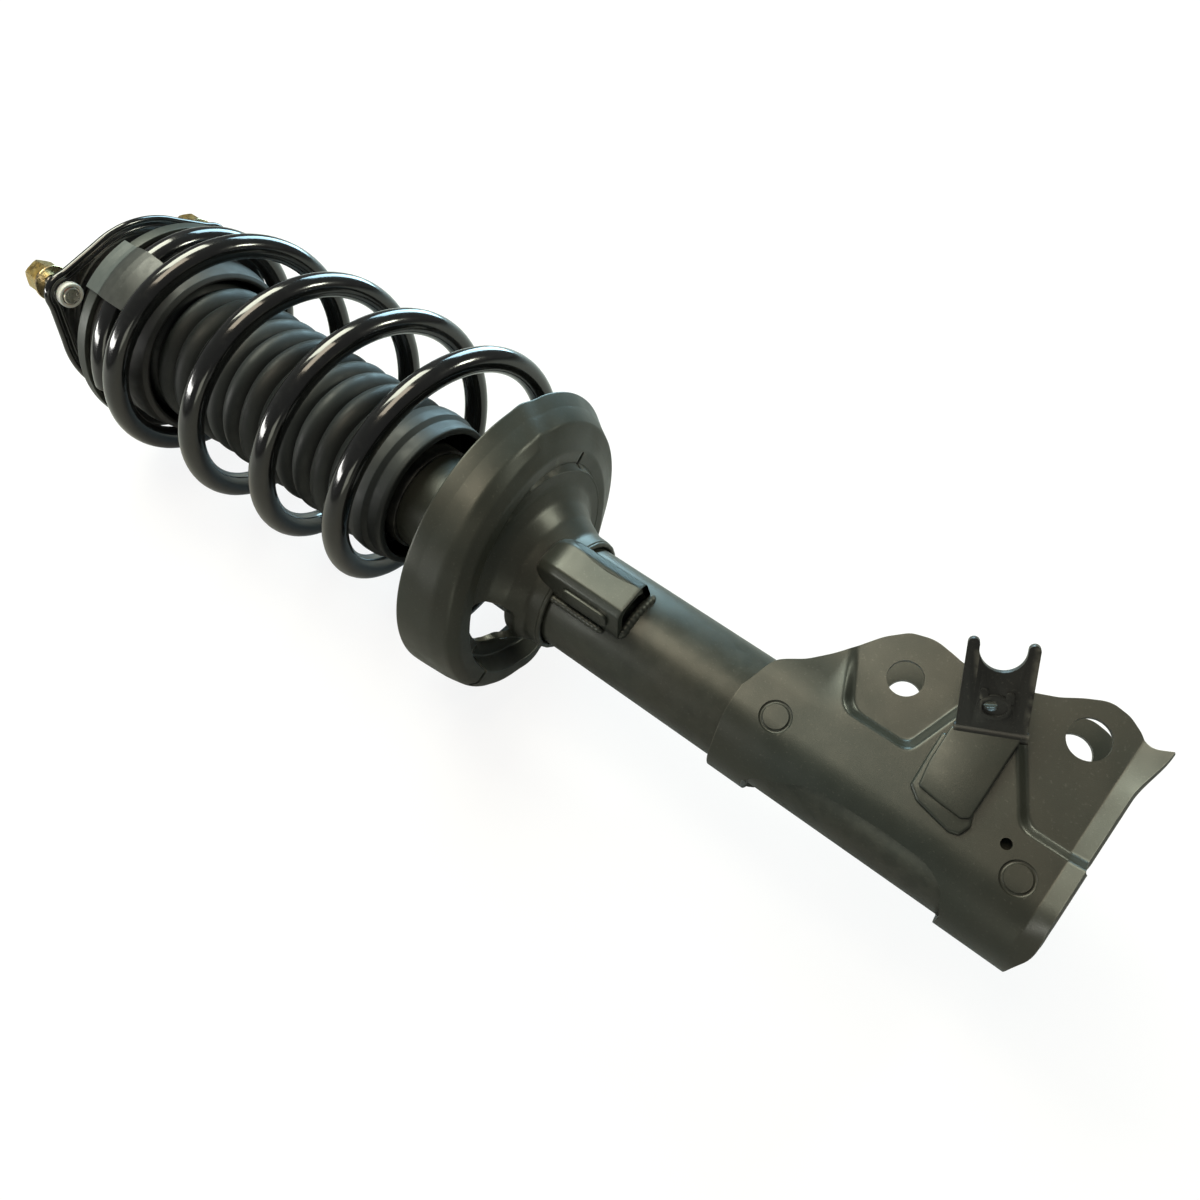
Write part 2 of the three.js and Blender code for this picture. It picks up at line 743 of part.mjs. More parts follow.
function flangeNut() {
  const top = NUT_Z + 12.5;
  const flange = disc(NUT_FLANGE_R, NUT_Z, NUT_Z + 2, 18);
  const hex = slab(hexagon(NUT_HEX_R), NUT_Z + 1, top);
  return shell(cut(joined(flange, hex), disc(STUD_R + GAP, NUT_Z - 1, top + 1, 12)));
}

// ---- Assembly ----

const strut = new THREE.Group();

function place(name, geometry, material) {
  const mesh = new THREE.Mesh(geometry, material.clone());
  mesh.name = name;
  strut.add(mesh);
}

place("damper_tube", reserveTube(), BODY_PAINT);
place("tube_base", baseCap(), BODY_PAINT);
place("base_valve", baseValve(), STEEL);
place("pressure_tube", pressureTube(), STEEL);
place("rod_guide", rodGuide(), STEEL);
place("rod_seal", rodSeal(), RUBBER);
place("bump_cap", bumpCap(), SATIN_BLACK);
place("lower_spring_seat", lowerSpringSeat(), BODY_PAINT);
place("knuckle_bracket", knuckleBracket(), BODY_PAINT);
place("link_bracket", linkBracket(), BODY_PAINT);
place("hose_bracket", hoseBracket(), SATIN_BLACK);
place("coil_spring", coilSpring(), GLOSS_BLACK);
place("dust_boot", dustBoot(), RUBBER);

place("upper_spring_seat", upperSpringSeat(), SATIN_BLACK);
place("spring_isolator", springIsolator(), RUBBER);
place("bump_stop", bumpStop(), FOAM);
place("bearing_lower_race", bearingLowerRace(), STEEL);
place("bearing_ball_cage", ballCage(), NYLON);

place("bearing_upper_race", bearingUpperRace(), STEEL);
place("mount_plate", mountPlate(), GLOSS_BLACK);
place("mount_rubber", mountRubber(), RUBBER);
place("mount_sleeve", mountSleeve(), STEEL);
place("piston_rod", pistonRod(), CHROME);
place("piston", piston(), STEEL);
place("piston_band", pistonBand(), SATIN_BLACK);
place("piston_nut", pistonNut(), STEEL);
place("rebound_stop", reboundStop(), RUBBER);
place("rod_washer", rodWasher(), ZINC);
place("rod_nut", rodNut(), ZINC);
STUD_ANGLES.forEach((angle, i) => {
  place(`mount_stud_${i + 1}`, around(mountStud(), angle, STUD_PCR), STEEL);
  place(`stud_retainer_${i + 1}`, around(studRetainer(), angle, STUD_PCR), NYLON);
  place(`stud_nut_${i + 1}`, around(flangeNut(), angle, STUD_PCR), ZINC);
});

export default strut;
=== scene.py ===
# Looks of the front suspension strut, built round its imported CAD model.
#
# Shapes are written in millimetres in the strut's own frame: +Z runs up the strut axis to the top
# mount, +X points at the knuckle ears, and the knuckle bolts run along Y. They are scaled to
# metres where the mesh is made.

import json
import math

import bmesh
import bpy
import numpy as np
from mathutils import Matrix, Vector


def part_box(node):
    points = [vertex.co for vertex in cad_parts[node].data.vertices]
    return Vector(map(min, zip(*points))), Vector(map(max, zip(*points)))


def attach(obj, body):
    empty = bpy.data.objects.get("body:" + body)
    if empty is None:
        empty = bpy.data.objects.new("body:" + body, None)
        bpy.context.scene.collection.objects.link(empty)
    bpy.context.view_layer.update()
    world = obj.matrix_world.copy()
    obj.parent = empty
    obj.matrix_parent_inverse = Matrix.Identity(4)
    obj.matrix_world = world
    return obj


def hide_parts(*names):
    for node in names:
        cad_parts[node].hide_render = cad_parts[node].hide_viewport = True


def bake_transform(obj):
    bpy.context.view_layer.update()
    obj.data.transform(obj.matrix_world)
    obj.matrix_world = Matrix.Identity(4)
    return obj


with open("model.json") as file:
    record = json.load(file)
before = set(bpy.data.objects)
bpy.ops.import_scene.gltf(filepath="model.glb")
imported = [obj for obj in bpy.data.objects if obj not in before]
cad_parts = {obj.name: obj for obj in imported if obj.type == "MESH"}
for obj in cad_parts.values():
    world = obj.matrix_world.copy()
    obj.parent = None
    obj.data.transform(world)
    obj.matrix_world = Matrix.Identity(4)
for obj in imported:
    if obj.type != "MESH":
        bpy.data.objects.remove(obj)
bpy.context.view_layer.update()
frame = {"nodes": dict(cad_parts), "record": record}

MM = 0.001
TAU = 2 * math.pi


def top_of(node):
    """Height of a CAD node's upper end, in millimetres."""
    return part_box(node)[1].z / MM


def foot_of(node):
    """Height of a CAD node's lower end, in millimetres."""
    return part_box(node)[0].z / MM


# ---- Driving dimensions, in millimetres ----

TUBE_R = 25.5
COLLAR_R = 28.9
COLLAR_TOP = 139
COLLAR_BOTTOM = -4.3
TOE_DROP = 4.1
LIP_CREASE = 2
LIP_FLARE = 3.2
COLLAR_SHEET = 3.1
EAR_FACE = 21.7
# Holes along Y: (x, z, radius).
BOLTS = ((45, 87, 7.5), (62.5, 18, 8.5))
DRAIN = (10.4, 22.6, 2.3)
PLUG_WELDS = ((2.0, 120.1), (2.0, 12.8))
PLUG_R = 6.1
WELD_SEED = 3

HUB_FOOT_Z = foot_of("lower_spring_seat")
HUB_R = 28.9
WEB_Z = 261.5
TROUGH_Z = 257.6
TROUGH_TILT = 6.4
TROUGH_R = 53.5
WALL_R = 60
PAN_RIM_Z = 283
PAN_SHEET = 2.6
PAN_R = 74.7
PAN_TILT = 1.3
PAN_SHIFT = 6.9

HOSE_SHEET = 3.2
FORK_ROOT = np.array([42, -31.6, 48.6])
FORK_SLANT = math.radians(25)
FORK_LEAN = math.radians(32)
FORK_WIDTH = 26
FORK_HEIGHT = 37.4
NOTCH_R = 8.6

LINK_ANGLE = math.radians(-78)
LINK_LOW = foot_of("link_bracket")
LINK_TOP = top_of("link_bracket") + 3
LINK_R = 40

WIRE_R = 6.25
COIL_R = 62.8
COIL_END_R = 56
COIL_Z = 489.5
COIL_FIRST_TURN = -1.15
COIL_LAST_TURN = 4.45
COIL_START_ANGLE = math.radians(-95)
COIL_SHIFT_X = 4.2
COIL_BOW_X = 3.2
COIL_BOW_Y = -1.2
COIL_TILT = 1.2
COIL_SEATED_X = 1
COIL_SEATED_R = 58.5
# Wire pitch along the spring: (turn, drop in millimetres a turn).
COIL_PITCH = (
    (-1.15, 2), (-0.45, 2), (-0.2, 64), (0, 64), (1, 52), (2, 49.4),
    (3.6, 50), (3.85, 109), (4.11, 0), (4.45, 0),
)

SEAT_R = 59.5
SEAT_Z = top_of("upper_spring_seat")
PLATE_Z = 552
MOUNT_TOP_Z = 566
PLATE_SHEET = 3
PLATE_R = 54.2
STUD_PCR = 53
STUD_ANGLES = [math.radians(a) for a in (-114, 6, 126)]
LOBE_R = 12
LOBE_SPREAD = 1.0
LOBE_FLANK = 0.55
STUD_R = 4
STUD_HEAD_R = 4.6
NUT_HEX_R = 8.6
NUT_FLANGE_R = 9.8

BOOT_LOW_Z = foot_of("dust_boot")
BOOT_TOP_Z = top_of("dust_boot")


# ---- Small maths ----

def smoothstep(low, high, x):
    t = np.clip((np.asarray(x, float) - low) / (high - low), 0, 1)
    return t * t * (3 - 2 * t)


def polar(radius, angle, z=0.0):
    return np.array([radius * math.cos(angle), radius * math.sin(angle), z])


def corner_curve(start, corner, end, steps):
    """A curve from start to end that bends towards the corner."""
    shares = [k / steps for k in range(steps + 1)]
    return [start * (1 - t) ** 2 + corner * 2 * t * (1 - t) + end * t * t for t in shares]


def run_lengths(points):
    """Distance along a polyline to each of its points."""
    return np.concatenate([[0], np.cumsum(np.linalg.norm(np.diff(points, axis=0), axis=1))])


def rounded(points, radii, steps=5):
    """A polyline with its corners rounded: radii is one number or one for each point."""
    points = [np.array(p, float) for p in points]
    if np.isscalar(radii):
        radii = [radii] * len(points)
    out = [points[0]]
    for i in range(1, len(points) - 1):
        before, corner, after = points[i - 1], points[i], points[i + 1]
        into = (before - corner) / np.linalg.norm(before - corner)
        away = (after - corner) / np.linalg.norm(after - corner)
        half = math.acos(np.clip(into @ away, -1, 1)) / 2
        reach = min(
            radii[i] / max(math.tan(half), 1e-6),
            np.linalg.norm(before - corner) * 0.49,
            np.linalg.norm(after - corner) * 0.49,
        )
        if reach < 1e-4 or half > math.pi / 2 - 1e-3:
            out.append(corner)
            continue
        start, end = corner + into * reach, corner + away * reach
        out += corner_curve(start, corner, end, steps)
    out.append(points[-1])
    return out


def thickened(line, sheet, round_ends=True):
    """A closed (radius, z) loop: the line, then the same line moved sheet to its left."""
    line = np.array(line, float)
    step = np.gradient(line, axis=0)
    normal = np.stack([-step[:, 1], step[:, 0]], 1)
    normal /= np.linalg.norm(normal, axis=1)[:, None]
    back = (line + normal * sheet)[::-1]
    if not round_ends:
        return np.concatenate([line, back])
    ends = []
    for tip, side, along in (
        (line[-1], normal[-1], line[-1] - line[-2]),
        (line[0], normal[0], line[0] - line[1]),
    ):
        along = along / np.linalg.norm(along)
        middle = tip + side * sheet / 2
        arc = []
        for k in range(1, 6):
            a = math.pi * k / 6
            arc.append(middle - side * sheet / 2 * math.cos(a) + along * sheet / 2 * math.sin(a))
        ends.append(arc)
    return np.concatenate([line, ends[0], back, ends[1][::-1]])


# ---- Mesh making ----

def make(name, verts, faces, material, sharp=35):
    """A mesh object from points in millimetres."""
    mesh = bpy.data.meshes.new(name)
    mesh.from_pydata((np.asarray(verts, float) * MM).tolist(), [], faces)
    mesh.validate()
    obj = bpy.data.objects.new(name, mesh)
    bpy.context.scene.collection.objects.link(obj)
    outward(obj)
    if material is not None:
        mesh.materials.append(material)
    soften(obj, sharp)
    return obj


def outward(obj):
    work = bmesh.new()
    work.from_mesh(obj.data)
    bmesh.ops.recalc_face_normals(work, faces=work.faces)
    work.to_mesh(obj.data)
    work.free()


def soften(obj, sharp=35):
    obj.data.polygons.foreach_set("use_smooth", [True] * len(obj.data.polygons))
    obj.data.set_sharp_from_angle(angle=math.radians(sharp))


def grid_faces(rows, columns, wrap_rows=False, wrap_columns=False):
    faces = []
    for i in range(rows if wrap_rows else rows - 1):
        for j in range(columns if wrap_columns else columns - 1):
            a, b = i * columns + j, i * columns + (j + 1) % columns
            c, d = ((i + 1) % rows) * columns + (j + 1) % columns, ((i + 1) % rows) * columns + j
            faces.append((a, b, c, d))
    return faces


def stack_faces(rows, columns):
    """Faces of a stack of closed sections, with both ends capped."""
    ends = [tuple(range(columns)), tuple(range((rows - 1) * columns, rows * columns))]
    return grid_faces(rows, columns, False, True) + ends


def revolve(name, loop, material, segments=96, sharp=35, bend=None):
    """A closed (radius, z) loop turned about the strut axis. bend(x, y, z) may move the points."""
    loop = np.array(loop, float)
    if np.linalg.norm(loop[0] - loop[-1]) < 1e-6:
        loop = loop[:-1]
    angles = np.arange(segments) * TAU / segments
    x = np.cos(angles)[:, None] * loop[None, :, 0]
    y = np.sin(angles)[:, None] * loop[None, :, 0]
    z = np.repeat(loop[None, :, 1], segments, 0)
    if bend is not None:
        x, y, z = bend(x, y, z)
    verts = np.stack([x, y, z], -1).reshape(-1, 3)
    return make(name, verts, grid_faces(segments, len(loop), True, True), material, sharp)


def ring_loop(inner, outer, bottom, top, edge=0.4):
    """A (radius, z) rectangle with rounded corners."""
    corners = [(inner, bottom), (outer, bottom), (outer, top), (inner, top)]
    edge = min(edge, (outer - inner) * 0.4, (top - bottom) * 0.4)
    loop = []
    for i, corner in enumerate(corners):
        corner = np.array(corner, float)
        before = np.array(corners[i - 1], float) - corner
        after = np.array(corners[(i + 1) % 4], float) - corner
        start = corner + before / np.linalg.norm(before) * edge
        end = corner + after / np.linalg.norm(after) * edge
        loop += corner_curve(start, corner, end, 3)
    return loop


def sweep(name, centres, section, material, sharp=50, closed=False, up=None):
    """A section of (across, up) points carried along the centres, in millimetres.
    section is one loop, or one loop for each centre."""
    centres = np.asarray(centres, float)
    count = len(centres)
    if closed:
        along = np.roll(centres, -1, 0) - np.roll(centres, 1, 0)
    else:
        along = np.gradient(centres, axis=0)
    along /= np.linalg.norm(along, axis=1)[:, None]
    if up is None:
        up = np.tile([0.0, 0.0, 1.0], (count, 1))
    up = np.asarray(up, float)
    across = np.cross(along, up)
    across /= np.linalg.norm(across, axis=1)[:, None]
    lift = np.cross(across, along)
    loops = np.asarray(section, float)
    if loops.ndim == 2:
        loops = np.tile(loops[None], (count, 1, 1))
    verts = (
        centres[:, None]
        + across[:, None] * loops[:, :, :1]
        + lift[:, None] * loops[:, :, 1:]
    )
    size = loops.shape[1]
    faces = grid_faces(count, size, True, True) if closed else stack_faces(count, size)
    return make(name, verts.reshape(-1, 3), faces, material, sharp)


def circle(radius, count=20):
    angles = np.arange(count) * TAU / count
    return np.stack([radius * np.cos(angles), radius * np.sin(angles)], 1)


def oval(x, y, half_wide, half_high, count=40):
    angles = np.arange(count) * TAU / count
    return [(x + half_wide * math.cos(a), y + half_high * math.sin(a)) for a in angles]


def prism(name, outline, low, high, material):
    """A flat (x, y) outline pulled up from low to high."""
    outline = np.asarray(outline, float)
    count = len(outline)
    bottom = np.column_stack([outline, np.full(count, low)])
    top = np.column_stack([outline, np.full(count, high)])
    faces = [tuple(range(count)), tuple(range(count, 2 * count))]
    faces += [(i, (i + 1) % count, count + (i + 1) % count, count + i) for i in range(count)]
    return make(name, np.concatenate([bottom, top]), faces, material)


def evaluated(obj):
    """Bakes an object's modifiers into its mesh."""
    graph = bpy.context.evaluated_depsgraph_get()
    mesh = bpy.data.meshes.new_from_object(obj.evaluated_get(graph))
    old = obj.data
    obj.modifiers.clear()
    obj.data = mesh
    bpy.data.meshes.remove(old)
    return obj


def combine(obj, others, operation):
    for other in others:
        step = obj.modifiers.new("combine", "BOOLEAN")
        step.operation = operation
        step.solver = "MANIFOLD"
        step.object = other
    evaluated(obj)
    for other in others:
        bpy.data.objects.remove(other)
    return obj


def carve(obj, cutters, sharp=35):
    combine(obj, cutters, "DIFFERENCE")
    soften(obj, sharp)
    return obj


def fuse(obj, others, sharp=35):
    combine(obj, others, "UNION")
    soften(obj, sharp)
    return obj


def bevel(obj, width, angle=30, segments=2, sharp=35):
    step = obj.modifiers.new("bevel", "BEVEL")
    step.width = width * MM
    step.segments = segments
    step.limit_method = "ANGLE"
    step.angle_limit = math.radians(angle)
    step.harden_normals = False
    evaluated(obj)
    soften(obj, sharp)
    return obj


def moved(obj, matrix):
    """Moves an object's own points, with the matrix in millimetres."""
    scaled = Matrix(matrix)
    scaled.translation *= MM
    obj.data.transform(scaled)
    return obj


def settle(obj, body, slot, *nodes):
    """Rides a finished piece on its body, and lets it stand for CAD nodes."""
    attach(obj, body)
    if nodes:
        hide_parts(*nodes)
    return obj


# ---- Materials ----

class Nodes:
    """A short way to write a node tree."""

    def __init__(self, name):
        self.material = bpy.data.materials.new(name)
        self.material.use_nodes = True
        self.tree = self.material.node_tree
        self.bsdf = self.tree.nodes["Principled BSDF"]
        self.place = self.tree.nodes.new("ShaderNodeNewGeometry")

    def add(self, kind, inputs=None, **settings):
        node = self.tree.nodes.new("ShaderNode" + kind)
        for key, value in settings.items():
            setattr(node, key, value)
        for key, value in (inputs or {}).items():
            self.put(value, node.inputs[key])
        return node

    def put(self, value, socket):
        if isinstance(value, bpy.types.NodeSocket):
            self.tree.links.new(value, socket)
        elif isinstance(value, bpy.types.Node):
            self.tree.links.new(value.outputs[0], socket)
        else:
            socket.default_value = value

    def noise(self, scale, detail=3.0, stretch=None):
        where = self.add("TexCoord").outputs["Object"]
        if stretch is not None:
            where = self.add("Mapping", {"Vector": where, "Scale": stretch}).outputs[0]
        inputs = {"Vector": where, "Scale": scale, "Detail": detail, "Roughness": 0.5}
        return self.add("TexNoise", inputs).outputs["Fac"]

    def ramp(self, value, low, high, a=0.0, b=1.0):
        inputs = {0: value, 1: low, 2: high, 3: a, 4: b}
        return self.add("MapRange", inputs, clamp=True).outputs[0]

    def mix(self, share, a, b):
        node = self.add("Mix", data_type="RGBA")
        self.put(share, node.inputs[0])
        self.put(a, node.inputs[6])
        self.put(b, node.inputs[7])
        return node.outputs[2]

    def times(self, a, b):
        return self.add("Math", {0: a, 1: b}, operation="MULTIPLY").outputs[0]

    def plus(self, a, b):
        return self.add("Math", {0: a, 1: b}, operation="ADD").outputs[0]

    def worn(self, low, high):
        """1 along outer edges, 0 elsewhere."""
        return self.ramp(self.place.outputs["Pointiness"], low, high)

    def bump(self, height, strength, distance):
        node = self.add("Bump", {"Strength": strength, "Distance": distance * MM, "Height": height})
        return node.outputs[0]

    def finish(self, colour, roughness, metallic=0.0, normal=None, **more):
        self.put(colour, self.bsdf.inputs["Base Color"])
        self.put(roughness, self.bsdf.inputs["Roughness"])
        self.put(metallic, self.bsdf.inputs["Metallic"])
        if normal is not None:
            self.put(normal, self.bsdf.inputs["Normal"])
        for key, value in more.items():
            self.put(value, self.bsdf.inputs[key.replace("_", " ")])
        return self.material


def rgb(r, g, b):
    return (r, g, b, 1.0)


def dip_paint(name, base, warm, sheen=0.36):
    """Satin paint over rough pressed steel: mottled colour, fine orange peel and rubbed edges."""
    n = Nodes(name)
    cloud = n.ramp(n.noise(14, 4), 0.35, 0.68)
    speck = n.ramp(n.noise(900, 2), 0.62, 0.78)
    colour = n.mix(cloud, base, warm)
    colour = n.mix(n.times(speck, 0.25), colour, rgb(0.11, 0.11, 0.095))
    edge = n.times(n.worn(0.53, 0.62), n.ramp(n.noise(160, 3), 0.4, 0.6))
    colour = n.mix(n.times(edge, 0.5), colour, rgb(0.16, 0.155, 0.13))
    rough = n.ramp(n.noise(60, 4), 0.3, 0.7, sheen - 0.05, sheen + 0.09)
    height = n.plus(n.times(n.noise(700, 3), 0.5), n.noise(2600, 2))
    return n.finish(colour, rough, 0.35, n.bump(height, 0.28, 0.12), Specular_IOR_Level=0.5)


def gloss_coat(name):
    """Thick gloss powder coat, with a slight wave and faint dust."""
    n = Nodes(name)
    dust = n.ramp(n.noise(240, 5), 0.55, 0.75)
    colour = n.mix(n.times(dust, 0.3), rgb(0.0045, 0.005, 0.005), rgb(0.02, 0.021, 0.02))
    rough = n.ramp(n.noise(90, 3), 0.35, 0.7, 0.13, 0.2)
    normal = n.bump(n.noise(320, 2), 0.12, 0.18)
    return n.finish(colour, rough, 0.0, normal, Coat_Weight=0.6, Coat_Roughness=0.06)


def moulded_rubber(name, base, dusty, bloom=0.5, rough=0.55):
    """Matte rubber with a dusty bloom, moulding grain and a painted highlight on the crests."""
    n = Nodes(name)
    cloud = n.ramp(n.noise(26, 5), 0.38, 0.7)
    crest_highlight = n.worn(0.505, 0.56)
    colour = n.mix(n.times(cloud, bloom), base, dusty)
    # Convex crests are mixed towards the dusty colour: a painted highlight on the crests, not dust.
    colour = n.mix(n.times(crest_highlight, 0.35), colour, dusty)
    roughness = n.ramp(n.noise(120, 4), 0.3, 0.7, rough - 0.06, rough + 0.1)
    height = n.plus(n.noise(1500, 3), n.times(n.noise(220, 3), 0.6))
    return n.finish(colour, roughness, 0.0, n.bump(height, 0.22, 0.1), Specular_IOR_Level=0.42)


def plated(name, base, tint, rough=0.3):
    """Zinc plating: bright metal with cloudy passivation colours and machining marks."""
    n = Nodes(name)
    cloud = n.ramp(n.noise(110, 4), 0.35, 0.65)
    colour = n.mix(cloud, base, tint)
    colour = n.mix(n.times(n.worn(0.53, 0.6), 0.5), colour, rgb(0.9, 0.85, 0.7))
    roughness = n.ramp(n.noise(400, 3), 0.3, 0.7, rough - 0.1, rough + 0.1)
    lines = n.noise(90, 2, stretch=(1, 1, 30))
    return n.finish(colour, roughness, 1.0, n.bump(lines, 0.15, 0.08))


def machined(name, base=(0.42, 0.42, 0.41), rough=0.34):
    """Turned steel with fine rings about the axis."""
    n = Nodes(name)
    cloud = n.ramp(n.noise(60, 4), 0.3, 0.7)
    colour = n.mix(cloud, rgb(*base), rgb(*[c * 0.72 for c in base]))
    roughness = n.ramp(n.noise(300, 3), 0.3, 0.7, rough - 0.08, rough + 0.1)
    lines = n.noise(220, 2, stretch=(1, 1, 22))
    return n.finish(colour, roughness, 1.0, n.bump(lines, 0.2, 0.05))


def plain_plastic(name, base, dirty, rough=0.42):
    n = Nodes(name)
    cloud = n.ramp(n.noise(150, 4), 0.45, 0.75)
    colour = n.mix(n.times(cloud, 0.5), base, dirty)
    roughness = n.ramp(n.noise(500, 3), 0.3, 0.7, rough - 0.08, rough + 0.1)
    normal = n.bump(n.noise(1800, 2), 0.15, 0.05)
    return n.finish(colour, roughness, 0.0, normal, Subsurface_Weight=0.05)


def foam_material(name):
    n = Nodes(name)
    cells = n.add("TexVoronoi", {"Scale": 900.0}).outputs["Distance"]
    colour = n.mix(n.ramp(cells, 0.1, 0.6), rgb(0.3, 0.24, 0.12), rgb(0.55, 0.46, 0.26))
    return n.finish(colour, 0.85, 0.0, n.bump(cells, 0.5, 0.3))


def label_material(name, base, dusty):
    n = Nodes(name)
    cloud = n.ramp(n.noise(70, 4), 0.35, 0.7)
    colour = n.mix(n.times(cloud, 0.5), base, dusty)
    roughness = n.ramp(n.noise(300, 3), 0.3, 0.7, 0.36, 0.5)
    return n.finish(colour, roughness, 0.0, n.bump(n.noise(130, 3), 0.2, 0.1))


PAINT = dip_paint("body_paint", rgb(0.026, 0.032, 0.027), rgb(0.036, 0.036, 0.028))
SATIN = dip_paint("satin_black", rgb(0.011, 0.0125, 0.0125), rgb(0.016, 0.016, 0.014), 0.4)
GLOSS = gloss_coat("gloss_black")
BOOT = moulded_rubber("boot_rubber", rgb(0.0055, 0.0075, 0.0073), rgb(0.013, 0.017, 0.016))
SEAL = moulded_rubber("seal_rubber", rgb(0.012, 0.012, 0.012), rgb(0.03, 0.03, 0.028))
ZINC = plated("yellow_zinc", rgb(0.62, 0.4, 0.11), rgb(0.5, 0.42, 0.2))
BRIGHT = plated("bright_zinc", rgb(0.6, 0.58, 0.52), rgb(0.42, 0.42, 0.4))
STEEL = machined("steel")
CHROME = machined("chrome", (0.72, 0.73, 0.74), 0.16)
NYLON = plain_plastic("white_plastic", rgb(0.62, 0.62, 0.58), rgb(0.36, 0.35, 0.3))
FOAM = foam_material("foam")
BAND = dip_paint("seat_band", rgb(0.03, 0.036, 0.032), rgb(0.038, 0.04, 0.034), 0.42)
# One sticker material in two copies: the lighter copy is painted light on the upper part, and the darker
# copy is painted shade where the sticker bends over the coil.
LABEL_PAINTED_LIT = label_material("label_painted_lit", rgb(0.06, 0.072, 0.07), rgb(0.075, 0.085, 0.08))
LABEL_PAINTED_SHADE = label_material("label_painted_shade", rgb(0.026, 0.029, 0.027), rgb(0.034, 0.036, 0.033))

SLOT_MATERIALS = {
    "body_paint": PAINT,
    "gloss_black": GLOSS,
    "satin_black": SATIN,
    "boot_rubber": BOOT,
    "seal_rubber": SEAL,
    "steel": STEEL,
    "chrome": CHROME,
    "yellow_zinc": ZINC,
    "white_plastic": NYLON,
    "foam": FOAM,
}


def paint_cad_nodes():
    """Gives every CAD node the material of its slot, whether or not a piece stands for it."""
    for row in frame["record"]["subparts"]:
        mesh = frame["nodes"][row["node"]].data
        mesh.materials.clear()
        mesh.materials.append(SLOT_MATERIALS[row["material_slot"]])


# ---- Coil spring ----

def coil_drop(turn):
    """Drop of the wire from turn 0 to the given turns: the area under the pitch line."""
    ends, pitches = zip(*COIL_PITCH)
    fine = np.linspace(ends[0], ends[-1], 2801)
    pitch = np.interp(fine, ends, pitches)
    area = np.concatenate([[0], np.cumsum((pitch[1:] + pitch[:-1]) / 2 * np.diff(fine))])
    return np.interp(turn, fine, area) - np.interp(0, fine, area)


def coil_point(turn):
    """The wire's centre at the given turns. The open coils bow sideways."""
    free = smoothstep(COIL_FIRST_TURN, -0.1, turn)
    settled = smoothstep(3.35, 4.1, turn)
    seated = smoothstep(3.7, 4.1, turn)
    radius = COIL_END_R + (COIL_R - COIL_END_R) * free - (COIL_R - COIL_SEATED_R) * seated
    bow = np.maximum(turn, 0) * (1 - settled)
    shift = COIL_SHIFT_X * free * (1 - settled) + COIL_SEATED_X * settled
    angle = COIL_START_ANGLE + TAU * turn
    x = shift + COIL_BOW_X * bow + radius * np.cos(angle)
    y = COIL_BOW_Y * bow + radius * np.sin(angle)
    tilt = COIL_TILT * free * (1 - settled) + (TROUGH_TILT + PAN_TILT) * seated
    return np.stack([x, y, COIL_Z - coil_drop(turn) + tilt * np.cos(angle)], -1)


def build_coil():
    around, per_turn = 28, 96
    count = int((COIL_LAST_TURN - COIL_FIRST_TURN) * per_turn)
    turns = np.linspace(COIL_FIRST_TURN, COIL_LAST_TURN, count)
    centres = coil_point(turns)
    # The cut ends are slightly rounded over by three extra rings each.
    first, last = centres[0] - centres[1], centres[-1] - centres[-2]
    first, last = first / np.linalg.norm(first), last / np.linalg.norm(last)
    rounds = ((1.0, 0.86), (0.7, 0.95), (0.3, 0.99))
    head = [centres[0] + first * along for along, _ in rounds]
    tail = [centres[-1] + last * along for along, _ in reversed(rounds)]
    centres = np.concatenate([head, centres, tail])
    sizes = np.array([s for _, s in rounds] + [1] * count + [s for _, s in reversed(rounds)])
    section = circle(WIRE_R, around)[None] * sizes[:, None, None]
    coil = sweep("coil_spring_wire", centres, section, GLOSS, sharp=50)
    low, high = foot_of("coil_spring") + 2 * WIRE_R, top_of("coil_spring") - 2 * WIRE_R
    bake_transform(coil)
    # Each wire section gets one share of its height, from 0 at the foot to 1 at the top; the share is not
    # used further.
    share = np.clip((centres[:, 2] - low) / (high - low), 0, 1)
    share = np.repeat(share, around).astype(np.float32)
    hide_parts("coil_spring")


# ---- Dust boot ----

BOOT_FOLDS = 13
BOOT_FOLDS_Z = 350
BOOT_CREST_R = 40
BOOT_VALLEY_R = 34.8
BOOT_WALL = 1.5


def build_boot():
    lip = [(35.9, BOOT_LOW_Z), (38.3, BOOT_LOW_Z + 0.4), (38.7, BOOT_LOW_Z + 3)]
    cuff = [(38.6, BOOT_LOW_Z + 8.5), (40.6, BOOT_LOW_Z + 11), (40.9, BOOT_LOW_Z + 16)]
    cuff += [(40.4, BOOT_FOLDS_Z - 4), (37.5, BOOT_FOLDS_Z - 0.8)]
    line = rounded(lip + cuff + [(35.6, BOOT_FOLDS_Z)], 1.2, 3)
    pitch = (BOOT_TOP_Z - 12 - BOOT_FOLDS_Z) / BOOT_FOLDS
    fine = 14
    for i in range(BOOT_FOLDS * fine + 1):
        phase = i / fine
        swell = abs(math.sin(math.pi * phase)) ** 0.72
        swell *= 1 + 0.03 * math.sin(2.4 * phase)
        z = BOOT_FOLDS_Z + 0.4 + phase * pitch
        line.append(np.array([BOOT_VALLEY_R + (BOOT_CREST_R - BOOT_VALLEY_R) * swell, z]))
    line.append(np.array([BOOT_VALLEY_R, BOOT_TOP_Z]))
    loop = thickened(line, BOOT_WALL, round_ends=True)

    def hang(x, y, z):
        # The boot sags a little off the axis towards its free lower end, and its folds aren't even.
        angle = np.arctan2(y, x)
        free = smoothstep(BOOT_TOP_Z - 20, BOOT_LOW_Z, z)
        ripple = 0.22 * np.sin(3 * angle + z * 0.11) + 0.12 * np.sin(5 * angle - z * 0.23)
        return x + 1.6 * free, y - 0.5 * free, z + ripple * smoothstep(BOOT_LOW_Z, 360, z)

    boot = revolve("dust_boot_bellows", loop, BOOT, segments=128, sharp=60, bend=hang)
    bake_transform(boot)
    z = np.array([v.co.z for v in boot.data.vertices])
    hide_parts("dust_boot")


# ---- Damper body ----

